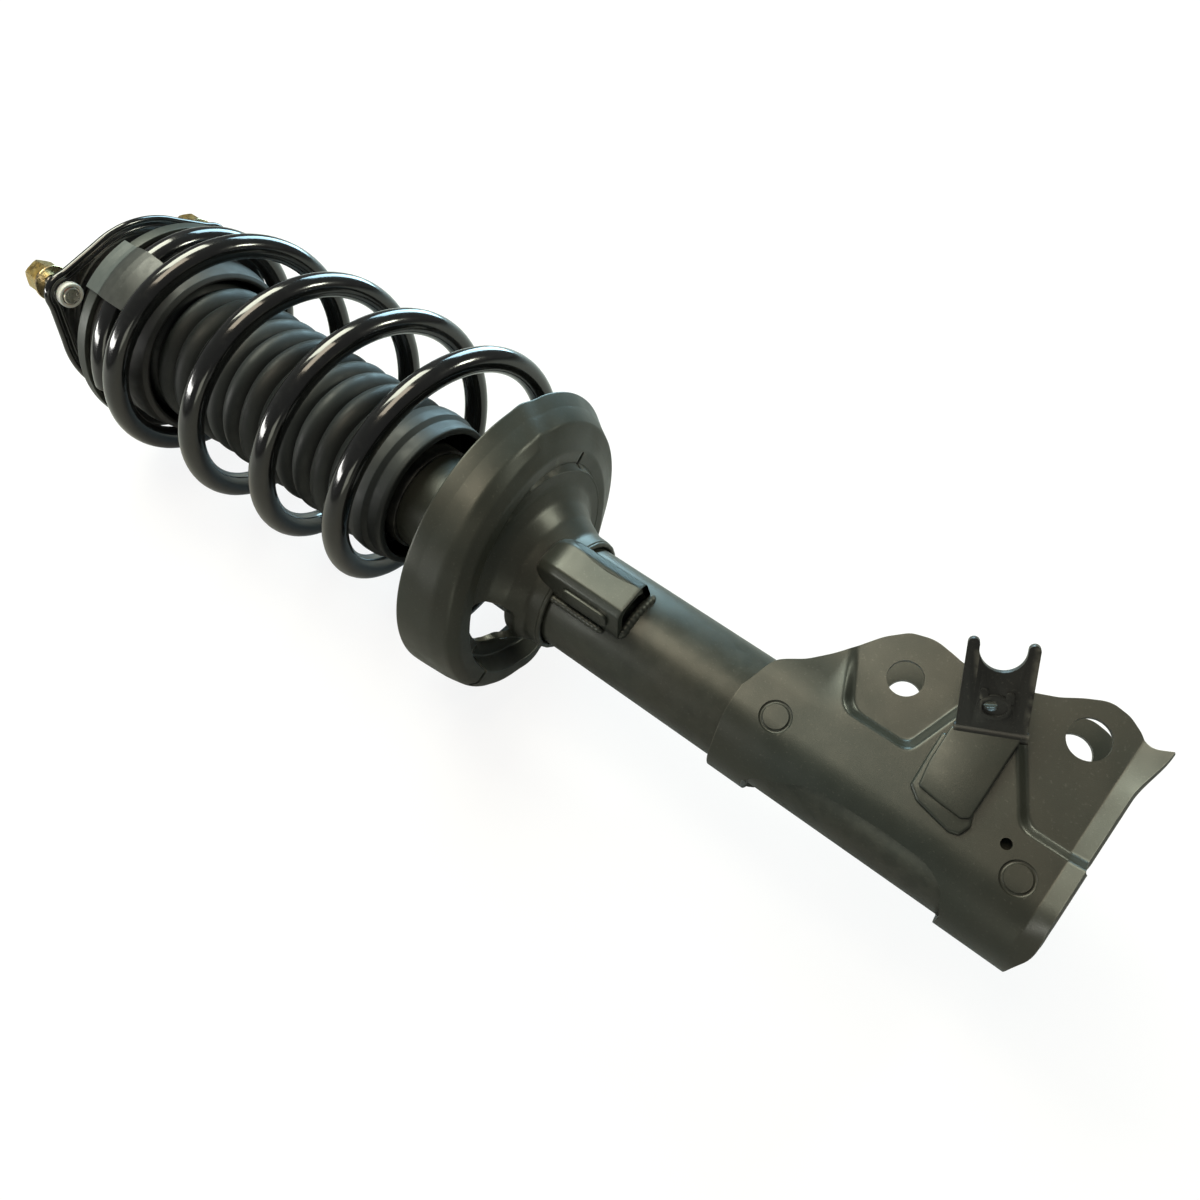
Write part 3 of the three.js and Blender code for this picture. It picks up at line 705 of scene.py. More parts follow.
def build_tube():
    line = [(TUBE_R - 2.6, 0.2), (TUBE_R - 0.4, 0.2), (TUBE_R, 0.8), (TUBE_R, 336)]
    line += [(TUBE_R - 0.6, 339), (TUBE_R - 2, 341.2), (TUBE_R - 4.5, 342), (TUBE_R - 5.5, 341.4)]
    inner = [(TUBE_R - 5.5, 340), (TUBE_R - 2.6, 339.5)]
    tube = revolve("damper_tube_body", line + inner, PAINT, 128)
    settle(tube, "strut_body", "body_paint", "damper_tube")

    base = [(0.001, 0), (20, 0), (22, 0.6), (22.6, 2), (22.6, 6), (18.6, 6), (16.6, 4), (0.001, 4)]
    settle(revolve("tube_base_disc", base, PAINT, 96), "strut_body", "body_paint", "tube_base")

    low, high = foot_of("bump_cap"), top_of("bump_cap")
    cap = [(25.8, low), (27.0, low), (27.4, low + 0.6), (27.3, high - 3), (26.8, high - 1)]
    cap += [(25.3, high), (12.4, high), (12, high - 0.4), (12, high - 2.6), (25.4, high - 2.7)]
    cap += [(25.8, high - 3.4)]
    settle(revolve("bump_cap_shell", cap, SATIN, 96), "strut_body", "satin_black", "bump_cap")


# ---- Lower spring seat ----

def rounded_loop(corners, steps=5):
    """A closed loop of (radius, z, rounding) corners. The first corner lies on a straight side."""
    points = [corner[:2] for corner in corners]
    radii = [corner[2] for corner in corners]
    return rounded(points + [points[0]], radii + [0], steps)[:-1]


def shape_trough(x, y, z):
    """Tilts the trough up towards the ears and leans the outer wall the same way."""
    radius = np.hypot(x, y)
    angle = np.degrees(np.arctan2(y, x))
    in_trough = smoothstep(TROUGH_R - 2.5, TROUGH_R, radius)
    up_wall = smoothstep(TROUGH_Z + 1, TROUGH_Z + 13, z)
    wall = np.maximum(radius - WALL_R, 0) / (PAN_R - WALL_R)
    # A press crease runs up the outer wall, and the web has a shallow oval boss.
    crease = 0.9 * np.exp(-(((angle + 54) / 3.2) ** 2)) * smoothstep(62, 67, radius)
    crease = crease - 0.6 * np.exp(-(((angle + 46) / 4.0) ** 2)) * smoothstep(62, 67, radius)
    boss = np.exp(-((((angle - 128) / 9) ** 2 + ((radius - 56) / 6) ** 2) ** 2))
    grow = 1 + crease / radius
    tilt = (TROUGH_TILT * (1 - up_wall) + PAN_TILT) * in_trough * x / radius
    return x * grow + PAN_SHIFT * wall**2, y * grow, z + tilt - 1.2 * boss


SLOT_LOW, SLOT_HIGH = 245, 275


def build_spring_seat():
    hub_bore = TUBE_R + 0.4
    hub = [
        (hub_bore, 240, 0),
        (hub_bore, HUB_FOOT_Z, 0.6),
        (HUB_R, HUB_FOOT_Z, 0.8),
        (HUB_R + 0.4, 241, 8),
        (33.5, 250, 12),
        (38.5, 257, 10),
        (44.5, WEB_Z - 0.3, 6),
        (TROUGH_R - 2.5, WEB_Z, 1.2),
    ]
    trough = [
        (TROUGH_R, TROUGH_Z, 0.9),
        (WALL_R, TROUGH_Z, 4),
        (WALL_R + 5.5, TROUGH_Z + 3.6, 6),
        (69.3, 266.6, 9),
        (72.1, 275.6, 12),
        (PAN_R, PAN_RIM_Z - 0.5, 1),
        (PAN_R - PAN_SHEET, PAN_RIM_Z, 1),
        (69.4, 276.3, 12),
        (66.8, 268.4, 8),
        (WALL_R + 3.6, TROUGH_Z + 5, 4),
        (WALL_R - 1.5, TROUGH_Z + PAN_SHEET, 2.5),
        (TROUGH_R + 2, TROUGH_Z + PAN_SHEET, 2),
    ]
    inside = [
        (TROUGH_R - 1, WEB_Z + PAN_SHEET, 1.6),
        (44, WEB_Z + PAN_SHEET - 0.3, 6),
        (37, 259.6, 8),
        (31.2, 251.5, 8),
        (26.8, 247, 1),
        (hub_bore, 245, 0.6),
    ]
    loop = rounded_loop(hub + trough + inside, 6)
    pan = revolve("spring_seat_pan", loop, PAINT, 180, sharp=50, bend=shape_trough)
    cutters = [
        arc_slot(51, -101, -80, 4),
        arc_slot(37.8, -177, -146, 14),
        arc_slot(36.5, 141, 164, 5),
        radial_slot(-19, 51.5, 59.5, 2.4),
        radial_slot(176, 46, 64, 2.6),
    ]
    carve(pan, cutters)
    bevel(pan, 0.35, 40, 2, 35)
    settle(pan, "strut_body", "body_paint", "lower_spring_seat")
    weld = ring_path(TUBE_R + 1.9, HUB_FOOT_Z - 0.4, 150)
    section = bead_section(1.3, len(weld), 0.05, 31)
    bead = sweep("spring_seat_weld", weld, section, PAINT, 60, closed=True)
    settle(bead, "strut_body", "body_paint")


def ring_path(radius, z, count):
    angles = np.arange(count) * TAU / count
    return np.stack([radius * np.cos(angles), radius * np.sin(angles), np.full(count, z)], 1)


def bead_section(radius, count, ripple, waves):
    """Round sections whose size ripples along the bead, as weld ripples do."""
    chance = np.random.default_rng(WELD_SEED)
    along = np.arange(count) / count * TAU
    size = 1 + ripple * np.sin(waves * along) + 0.5 * ripple * np.sin(2 * along + chance.random() * 6)
    return circle(radius, 14)[None] * size[:, None, None]


def half_round(centre, radius, start):
    """Points inside the half turn about a centre that begins at the angle start."""
    return [centre + polar(radius, start + math.pi * k / 6)[:2] for k in range(1, 6)]


def arc_slot(radius, start, end, width):
    """A cutter shaped as a rounded slot along an arc, with angles in degrees."""
    start, end, half = math.radians(start), math.radians(end), width / 2
    outline = [polar(radius + half, a)[:2] for a in np.linspace(start, end, 14)]
    outline += half_round(polar(radius, end)[:2], half, end)
    outline += [polar(radius - half, a)[:2] for a in np.linspace(end, start, 14)]
    outline += half_round(polar(radius, start)[:2], half, start + math.pi)
    return prism("cutter", outline, SLOT_LOW, SLOT_HIGH, None)


def radial_slot(angle, inner, outer, width):
    """A cutter shaped as a rounded slot that points at the strut axis."""
    angle = math.radians(angle)
    middle, half, reach = (inner + outer) / 2, width / 2, (outer - inner) / 2 - width / 2
    outline = []
    for side in (1, -1):
        for k in range(7):
            turn = -math.pi / 2 + math.pi * k / 6 + (0 if side > 0 else math.pi)
            outline.append((middle + side * reach + half * math.cos(turn), half * math.sin(turn)))
    c, s = math.cos(angle), math.sin(angle)
    outline = [(c * x - s * y, s * x + c * y) for x, y in outline]
    return prism("cutter", outline, SLOT_LOW, SLOT_HIGH, None)


# ---- Knuckle bracket ----

def segment_side(x, z, a, b):
    """Signed distance from the line through a and b, positive to its left."""
    a, b = np.array(a, float), np.array(b, float)
    d = (b - a) / np.linalg.norm(b - a)
    return d[0] * (z - a[1]) - d[1] * (x - a[0])


def soft_min(a, b, blend):
    h = np.clip(0.5 + 0.5 * (b - a) / blend, 0, 1)
    return b * (1 - h) + a * h - blend * h * (1 - h)


def soft_max(a, b, blend):
    return -soft_min(-a, -b, blend)


def ear_depth(x, z):
    """How far the bracket's outer face stands from the middle plane, at each (x, z)."""
    # Distance into each pressed pocket: positive inside.
    upper_left = segment_side(x, z, (41.6, 108.2), (22.7, 98.4))
    upper_floor = x - 22.3
    upper_right = segment_side(x, z, (23.4, 71.6), (43.9, 64.5))
    upper = soft_min(soft_min(upper_left, upper_floor, 5), upper_right, 4)
    lower_left = -segment_side(x, z, (23.6, 21.6), (50.7, 38.7))
    lower_floor = x - 20.9
    lower = soft_min(lower_left, lower_floor, 4)
    pocket = soft_max(upper, lower, 1.5)
    open_edge = smoothstep(46, 60, x) * smoothstep(112, 104, z) * 12
    pocket = pocket + open_edge
    step = smoothstep(-3.4, 1.2, pocket)
    crown = COLLAR_R - 0.012 * np.maximum(x, 0) ** 1.2
    # Above the upper pocket the sheet slopes down to the ear's edge.
    slope = smoothstep(96, 112, z) * smoothstep(14, 44, x) * 5.2
    raised = crown - slope
    return raised + (EAR_FACE - raised) * step


def ear_reach(z):
    """How far the ear reaches along X at each height."""
    toe = [(-12, 77), (-8, 76), (-4.5, 74.6), (-2, 72.4), (0.4, 71.2), (3.4, 74.5), (10.2, 78.2)]
    lower = [(17.1, 79.3), (20.6, 78.7), (27.7, 75.2), (35, 70.6), (44, 66.9), (58, 63.6), (72, 62.6)]
    upper = [(76, 63.5), (83.6, 64.7), (87.5, 64.5), (95.4, 62.2), (103.4, 55), (109, 47.3)]
    shoulder = [(115.5, 38.5), (123.6, 29.4), (131, 24.2), (134.2, 21.2), (136.2, 14), (139, 4)]
    return np.interp(z, *zip(*toe, *lower, *upper, *shoulder))


def smooth_reach(z):
    """The same outline with its corners rounded, by averaging over a few millimetres."""
    window = np.linspace(-2.6, 2.6, 9)
    weight = np.cos(window / 5.2 * math.pi) + 0.05
    rows = [w * ear_reach(z + d) for w, d in zip(weight, window)]
    return sum(rows) / weight.sum()


def window_half(z):
    """Half the width of the window in the collar's back, in degrees."""
    lower = [(26.9, 0), (27.8, 24), (30, 47), (36, 59), (43, 65), (60, 66), (76, 65)]
    upper = [(95, 61), (99, 56), (110, 43), (117, 34), (119, 26), (120, 12)]
    return np.interp(z, *zip(*lower, *upper))


def bracket_side():
    """The near half of the bracket as an open grid of outer points: from the back, round the
    collar, and out over the ear."""
    heights = np.concatenate([
        np.linspace(COLLAR_BOTTOM, 4, 20, endpoint=False),
        np.linspace(4, 118, 200, endpoint=False),
        np.linspace(118, COLLAR_TOP, 36),
    ])
    wrap, plate = 48, 130
    rows = []
    for z in heights:
        angles = np.linspace(math.radians(-180), math.radians(-90), wrap, endpoint=False)
        arc = np.stack([COLLAR_R * np.cos(angles), COLLAR_R * np.sin(angles)], 1)
        share = np.linspace(0, 1, plate)
        x = share * max(float(smooth_reach(z)), 2.0)
        y = -ear_depth(x, z)
        row = np.concatenate([arc, np.stack([x, y], 1)])
        # The foot turns outwards in a lip below a crease, and the lip drops lower at the toe.
        below = np.clip((LIP_CREASE - z) / (LIP_CREASE - COLLAR_BOTTOM), 0, 1)
        back = smoothstep(-4, -24, row[:, 0])
        flare = (LIP_FLARE * below * (1 - back))[:, None]
        drop = TOE_DROP * below * smoothstep(50, 74, row[:, 0])
        drop = drop - 1.6 * below * smoothstep(-20, -29, row[:, 0])
        drop = drop + 1.7 * below * np.exp(-(((row[:, 0] + 17) / 7) ** 2))
        # The top edge runs a little lower round the back.
        drop = drop + 1.6 * smoothstep(122, COLLAR_TOP, z) * back
        out = np.zeros_like(row)
        out[:wrap] = row[:wrap] / COLLAR_R
        out[wrap:, 1] = -1
        row = row + out * flare
        rows.append(np.column_stack([row, z - drop]))
    return np.array(rows)


def sheet_normals(grid):
    du = np.gradient(grid, axis=1)
    dv = np.gradient(grid, axis=0)
    normal = np.cross(du, dv)
    return normal / np.linalg.norm(normal, axis=-1)[..., None]


def closed_sheet(name, outer, inner, material, sharp):
    """Two grids of points, one on each side of a sheet, joined round their rim to one solid."""
    rows, columns = outer.shape[:2]
    size = rows * columns
    faces = grid_faces(rows, columns)
    faces += [tuple(size + i for i in reversed(f)) for f in grid_faces(rows, columns)]
    rim = list(range(columns))
    rim += [i * columns + columns - 1 for i in range(1, rows)]
    rim += [(rows - 1) * columns + i for i in range(columns - 2, -1, -1)]
    rim += [i * columns for i in range(rows - 2, 0, -1)]
    for a, b in zip(rim, rim[1:] + rim[:1]):
        faces.append((a, b, size + b, size + a))
    verts = np.concatenate([outer.reshape(-1, 3), inner.reshape(-1, 3)])
    return make(name, verts, faces, material, sharp)


def build_knuckle_bracket():
    near = bracket_side()
    far = near[:, ::-1] * np.array([1, -1, 1])
    # One sheet: the near ear, round the back, and out to the far ear.
    grid = np.concatenate([near[:, :0:-1], far[:, ::-1]], axis=1)
    inner = grid + sheet_normals(grid) * COLLAR_SHEET
    bracket = closed_sheet("knuckle_bracket_shell", grid, inner, PAINT, 60)
    cutters = [window_cutter()]
    for x, z, radius in BOLTS:
        cutters.append(bored(x, z, radius))
    cutters.append(bored(*DRAIN, near_only=True))
    for x, z in PLUG_WELDS:
        cutters.append(groove(x, z))
    carve(bracket, cutters, 60)
    settle(bracket, "strut_body", "body_paint", "knuckle_bracket")


def window_cutter():
    """A cutter for the window in the collar's back, in many steps round so that it clears the tube."""
    heights = np.linspace(27.6, 119.8, 70)
    half = [math.radians(max(float(window_half(z)), 3)) for z in heights]
    half = np.convolve(np.pad(half, 2, mode="edge"), np.ones(5) / 5, mode="valid")
    steps = 25
    shares = np.linspace(-1, 1, steps)
    verts = []
    for z, spread in zip(heights, half):
        verts += [polar(COLLAR_R + 12, math.pi + spread * s, z) for s in shares]
        verts += [polar(COLLAR_R - 8, math.pi + spread * s, z) for s in shares[::-1]]
    return make("cutter", verts, stack_faces(len(heights), 2 * steps), None)


def bored(x, z, radius, near_only=False):
    """A cutter for a round hole along Y."""
    outline = circle(radius, 48)
    reach = 40
    hole = prism("cutter", outline, 0 if near_only else -reach, reach, None)
    turn = Matrix.Rotation(math.radians(90), 4, "X")
    turn.translation = Vector((x, 0, z))
    return moved(hole, turn)


def groove(x, z):
    """A cutter for the ring-shaped groove round a plug weld, on the near side."""
    angles = np.arange(64) * TAU / 64
    path = np.stack([x + PLUG_R * np.cos(angles), np.zeros(64), z + PLUG_R * np.sin(angles)], 1)
    path[:, 1] = -np.sqrt(COLLAR_R**2 - np.minimum(path[:, 0], 0) ** 2) - 0.15
    up = np.tile([0.0, 1.0, 0.0], (64, 1))
    return sweep("cutter", path, circle(0.95, 10), None, closed=True, up=up)


# ---- Brake hose bracket ----

def welded(name, path, radius, ripple=0.05, seed=3):
    """A rippled weld bead along open points in millimetres, tapered at both ends."""
    path = np.array(path, float)
    lengths = run_lengths(path)
    count = max(int(lengths[-1] / 0.5), 16)
    spots = np.linspace(0, lengths[-1], count)
    centres = np.column_stack([np.interp(spots, lengths, path[:, i]) for i in range(3)])
    smooth = np.ones(7) / 7
    for i in range(3):
        centres[:, i] = np.convolve(np.pad(centres[:, i], 3, mode="edge"), smooth, mode="valid")
    chance = np.random.default_rng(seed)
    size = 1 + ripple * np.sin(spots * TAU / 2.3) + 0.5 * ripple * np.sin(spots * 0.9 + chance.random() * 6)
    taper = np.sqrt(np.clip(np.minimum(spots, lengths[-1] - spots) / (1.4 * radius), 0.08, 1))
    section = circle(radius, 14)[None] * (size * taper)[:, None, None]
    up = np.tile([0.05, -0.9, 0.2], (count, 1))
    return sweep(name, centres, section, PAINT, 70, up=up)


def fork_axes():
    along = np.array([math.sin(FORK_SLANT), 0, -math.cos(FORK_SLANT)])
    level = np.array([math.cos(FORK_SLANT), 0, math.sin(FORK_SLANT)])
    rise = level * math.cos(FORK_LEAN) + np.array([0, -math.sin(FORK_LEAN), 0])
    return along, rise, np.cross(along, rise)


def fork_outline():
    half, tip = FORK_WIDTH / 2, (FORK_WIDTH / 2 - NOTCH_R) / 2
    base = [(-half, 0), (-half, FORK_HEIGHT - tip)]
    left = [(-half + tip - tip * math.cos(a), FORK_HEIGHT - tip + tip * math.sin(a))
            for a in np.linspace(0, math.pi, 9)[1:]]
    notch = [(NOTCH_R * math.cos(a), FORK_HEIGHT - 3.6 + NOTCH_R * math.sin(a))
             for a in np.linspace(math.pi, TAU, 25)]
    right = [(-x, y) for x, y in reversed(base + left)]
    return base + left + notch + right


TAB_OUTLINE = [(9, 50), (10.2, 60), (20, 61.6), (36.5, 62), (47.8, 38), (41, 38.3)]
TAB_OUTLINE += [(10.5, 38), (8.6, 41), (9, 50)]
WELD_OUTLINE = [(3.4, 50), (5, 57.5), (9, 62.8), (22.5, 63.4), (34, 63.6), (33, 58), (16, 55)]
WELD_OUTLINE += [(14, 44), (15, 38.4), (8, 36), (3, 37.8), (1.8, 42), (3.4, 50)]


def build_hose_bracket():
    along, rise, face = fork_axes()
    place = Matrix(np.column_stack([along, rise, face]).tolist()).to_4x4()
    place.translation = Vector(FORK_ROOT)
    # The fork takes the darker satin black while the tab takes body paint. This is painted shade: fork and
    # tab are one pressing, and the fork is dark where it faces away from the light.
    blade = prism("hose_bracket_fork", fork_outline(), -HOSE_SHEET, 0, SATIN)
    raised = [oval(0, 11.2, 6.1, 5.0)]
    raised += [rounded_box(x, y, 3.2, 4.4, 1.2) for x, y in ((-4.6, 16), (4.9, 15.6))]
    fuse(blade, [prism("boss", outline, -1, 0.9, SATIN) for outline in raised])
    dish, hole = oval(0, 11.0, 4.6, 3.4), oval(-1.5, 11.2, 2.6, 1.9, 32)
    carve(blade, [prism("cutter", dish, -0.2, 3, None), prism("cutter", hole, -9, 3, None)])
    bevel(blade, 0.55, 40, 3, 40)
    moved(blade, place)
    # The fork's foot is rolled over the end of the tab.
    half = FORK_WIDTH / 2 + 0.6
    foot = [FORK_ROOT + along * t + rise * (-0.2) - face * 1.4 for t in np.linspace(-half, half, 24)]
    roll = sweep("roll", foot, circle(2.5, 20), SATIN, 60, up=np.tile(face, (24, 1)))
    fuse(blade, [roll], 40)
    settle(blade, "strut_body", "satin_black", "hose_bracket")

    tab_low, tab_high = COLLAR_R - 1.2, COLLAR_R + 0.3 + HOSE_SHEET
    turn = Matrix.Rotation(math.radians(90), 4, "X")
    for name, outline, high, edge in (
        ("hose_bracket_tab", rounded(TAB_OUTLINE, 1.6, 4), tab_high, (0.9, 40, 3, 40)),
        ("hose_bracket_weld", rounded(WELD_OUTLINE, 2.2, 4), COLLAR_R + 1.9, (1.3, 40, 4, 60)),
    ):
        piece = bevel(prism(name, outline[:-1], tab_low, high, PAINT), *edge)
        settle(moved(piece, turn), "strut_body", "body_paint")


def rounded_box(x, y, wide, high, radius):
    corners = []
    for sx, sy, start in ((1, -1, -90), (1, 1, 0), (-1, 1, 90), (-1, -1, 180)):
        cx, cy = x + sx * (wide / 2 - radius), y + sy * (high / 2 - radius)
        for k in range(6):
            a = math.radians(start + 90 * k / 5)
            corners.append((cx + radius * math.cos(a), cy + radius * math.sin(a)))
    return corners


# ---- Stabiliser link bracket ----

def hood_section(z, inset):
    """Half-turned section of the link bracket's hood at a height: (across, radial) points."""
    closing = max((z - (LINK_TOP - 15)) / 17, 0)
    rise = math.sqrt(max(1 - min(closing, 0.995) ** 2, 0))
    top = 24 + (LINK_R - inset - 24) * rise
    wide = 10.6 - inset - 2.6 * closing**2
    foot = 19
    near, far = -wide, wide
    points = [(near - 2.4, foot), (near - 1.5, 26), (near + 0.6, top - 2.2), (near + 4, top)]
    points += [(far - 4, top - 0.4), (far, top - 3), (far + 1.4, foot)]
    return rounded(points, [0, 2, 2.6, 3, 3, 2.5, 0], 5)


def on_link(across, radial, z):
    """The point at a place given across the link bracket, away from the axis, and in height."""
    c, s = math.cos(LINK_ANGLE), math.sin(LINK_ANGLE)
    return (radial * c - across * s, radial * s + across * c, z)


def hood(name, inset, low, high):
    steps = 36
    heights = np.linspace(low, high, steps)
    verts = []
    for z in heights:
        section = np.array(hood_section(z, inset))
        verts += [on_link(across, radial, z) for across, radial in section]
    return make(name, verts, stack_faces(steps, len(section)), PAINT)


def link_place(across, radial, z):
    """Moves a piece drawn with its face along X and Y onto the bracket's side wall."""
    c, s = math.cos(LINK_ANGLE), math.sin(LINK_ANGLE)
    out = Vector((-s, c, 0)) * -1
    radial_way = Vector((c, s, 0))
    lean = (out + radial_way * 0.2).normalized()
    across_way = (radial_way - lean * radial_way.dot(lean)).normalized()
    up = lean.cross(across_way)
    turn = Matrix((up, across_way, lean)).transposed().to_4x4()
    turn.translation = Vector(on_link(across, radial, z))
    return turn


LINK_PAD = (-11.9, 31, 214)
SCOOP_R = 60
SCOOP_FLOOR = 4.6
SCOOP_Z = 213


def build_link_bracket():
    outer = hood("link_bracket_hood", 0, LINK_LOW, LINK_TOP)
    pad = prism("pad", rounded_box(0, 0, 25, 8.4, 3.2), -3, 0.9, PAINT)
    bevel(pad, 0.6, 40, 2)
    fuse(outer, [moved(pad, link_place(*LINK_PAD))])
    inner = hood("cutter", 2.8, LINK_LOW - 2, LINK_TOP - 3.5)
    scoop = prism("cutter", circle(SCOOP_R, 96), 26.5, 60, None)
    c, s = math.cos(LINK_ANGLE), math.sin(LINK_ANGLE)
    turn = Matrix(((0, -s, c), (0, c, s), (1, 0, 0))).to_4x4()
    reach = SCOOP_FLOOR + SCOOP_R
    turn.translation = Vector((-reach * s, reach * c, SCOOP_Z))
    bore = prism("cutter", circle(TUBE_R + 0.2, 96), 180, 260, None)
    slot = prism("cutter", rounded_box(0, 0.4, 19, 3.4, 1.6), -1.2, 4, None)
    cutters = [inner, moved(scoop, turn), bore, moved(slot, link_place(*LINK_PAD))]
    carve(outer, cutters, 40)
    bevel(outer, 0.45, 45, 2, 40)
    settle(outer, "strut_body", "body_paint", "link_bracket")
    for name, side, low, high in (("near", -13.6, 203, 240), ("far", 12.4, 197, 226)):
        path = []
        for z in np.linspace(low, high, 12):
            radial = math.sqrt(TUBE_R**2 - side**2) + 0.3
            path.append(on_link(side, radial, z))
        settle(welded(f"link_bracket_weld_{name}", path, 1.8, 0.05, 11), "strut_body", "body_paint")
    path = [polar(TUBE_R + 0.2, LINK_ANGLE + a, LINK_LOW - 0.6) for a in np.linspace(-0.5, 0.55, 20)]
    settle(welded("link_bracket_weld_foot", path, 2.3, 0.05, 17), "strut_body", "body_paint")


# ---- Upper spring seat, bearing and top mount ----

def build_upper_seat():
    low, high = 523, SEAT_Z
    shell = [
        (SEAT_R - 1.2, 526, 0),
        (SEAT_R - 2.4, low, 0.5),
        (SEAT_R, low, 0.5),
        (SEAT_R + 0.1, 529.2, 1.4),
        (SEAT_R - 2.8, 532.2, 1.6),
        (50, 532.4, 2.5),
        (46, high, 2.5),
        (22, high, 0.5),
        (22, high - 2.4, 0.5),
        (44.8, high - 2.4, 2),
        (48.8, 529.6, 2),
        (SEAT_R - 4.4, 529.6, 1.2),
        (SEAT_R - 2.4, 528, 0.8),
        (SEAT_R - 2.4, 526, 0),
    ]
    points = [corner[:2] for corner in shell]
    radii = [corner[2] for corner in shell]
    loop = rounded(points[1:] + [points[1]], radii[1:] + [0], 4)
    seat = revolve("upper_spring_seat_shell", loop, BAND, 144, sharp=40)
    settle(seat, "upper_seat", "satin_black", "upper_spring_seat")

    skirt = [
        (46, 500, 0),
        (43.2, 491.4, 0.6),
        (44.8, 490, 1.2),
        (47.2, 492, 1.2),
        (49.6, 504, 4),
        (49.4, 513, 4),
        (49.6, 518.8, 1.4),
        (56.5, 518.8, 1.2),
        (56.5, 528, 1),
        (55, 529.2, 0.8),
        (48.4, 529.2, 1.4),
        (44.6, 533, 1),
        (42.6, 533, 0.5),
        (42.6, 512, 2),
    ]
    ring = revolve("spring_isolator_skirt", rounded_loop(skirt), SEAL, 128, sharp=50)
    settle(ring, "upper_seat", "seal_rubber", "spring_isolator")

    bore = 10.8
    puffs = [(bore, 478), (13.5, 478), (17.5, 480), (20.4, 484), (21.3, 488), (19.5, 493)]
    puffs += [(17.2, 496.8), (20.2, 500), (23, 504), (21.5, 508), (18.2, 511), (21.6, 514)]
    puffs += [(24, 518), (22, 523), (20.4, 527), (20.4, 533), (bore, 533), (bore, 505)]
    stop = revolve("bump_stop_foam", rounded(puffs, 3, 3)[:-1], FOAM, 72, sharp=60)
    settle(stop, "upper_seat", "foam", "bump_stop")


def build_bearing():
    base = SEAT_Z + 0.3
    lower = [(31, base + 2, 0), (31, base, 0.4), (43, base, 0.4), (43, base + 4.7, 0.8)]
    lower += [(40, base + 4.7, 0.3), (38.6, base + 3.7, 1), (37, base + 3.3, 2)]
    lower += [(35.4, base + 3.7, 1), (34, base + 4.7, 0.3), (31, base + 4.7, 0.8)]
    race = revolve("bearing_lower_race_ring", rounded_loop(lower, 3), STEEL, 96)
    settle(race, "upper_seat", "steel", "bearing_lower_race")
    top, groove = PLATE_Z - 0.3, 547.6
    upper = [(31, top - 2, 0), (31, groove - 1, 0.8), (34, groove - 1, 0.3), (35.4, groove, 1)]
    upper += [(37, groove + 0.4, 2), (38.6, groove, 1), (40, groove - 1, 0.3)]
    upper += [(43, groove - 1, 0.8), (43, top, 0.4), (31, top, 0.4)]
    race = revolve("bearing_upper_race_ring", rounded_loop(upper, 3), STEEL, 96)
    settle(race, "top_mount", "steel", "bearing_upper_race")

    middle = (foot_of("bearing_ball_cage") + top_of("bearing_ball_cage")) / 2
    cage = revolve("bearing_ball_ring", ring_loop(33.2, 40.8, middle - 1, middle + 1), NYLON, 96)
    balls = []
    for i in range(12):
        bpy.ops.mesh.primitive_uv_sphere_add(segments=24, ring_count=14, radius=2.75 * MM)
        ball = bpy.context.object
        ball.location = Vector(polar(37, TAU * i / 12, middle)) * MM
        ball.data.transform(Matrix.Translation(ball.location))
        ball.location = (0, 0, 0)
        ball.data.materials.append(NYLON)
        balls.append(ball)
    fuse(cage, balls, 50)
    settle(cage, "bearing_cage", "white_plastic", "bearing_ball_cage")


def plate_outline():
    """The mount plate's outline: a round plate with a lobe round each stud, its corners softened."""
    corners, count = [], 480
    for i, angle in enumerate(STUD_ANGLES):
        centre = polar(STUD_PCR, angle)[:2]
        for a in np.linspace(angle - LOBE_SPREAD, angle + LOBE_SPREAD, 30):
            corners.append(centre + polar(LOBE_R, a)[:2])
        following = STUD_ANGLES[(i + 1) % len(STUD_ANGLES)] + (TAU if i == len(STUD_ANGLES) - 1 else 0)
        for a in np.linspace(angle + LOBE_FLANK, following - LOBE_FLANK, 60):
            corners.append(polar(PLATE_R, a)[:2])
    corners = np.array(corners + corners[:1])
    lengths = run_lengths(corners)
    spots = np.arange(count) * lengths[-1] / count
    even = np.column_stack([np.interp(spots, lengths, corners[:, k]) for k in (0, 1)])
    window = np.hanning(13)
    window /= window.sum()
    padded = np.concatenate([even[-6:], even, even[:6]])
    return np.column_stack([np.convolve(padded[:, k], window, mode="valid") for k in (0, 1)])


def inset_outline(outline, distance):
    along = np.roll(outline, -1, 0) - np.roll(outline, 1, 0)
    along /= np.linalg.norm(along, axis=1)[:, None]
    return outline - np.column_stack([along[:, 1], -along[:, 0]]) * distance


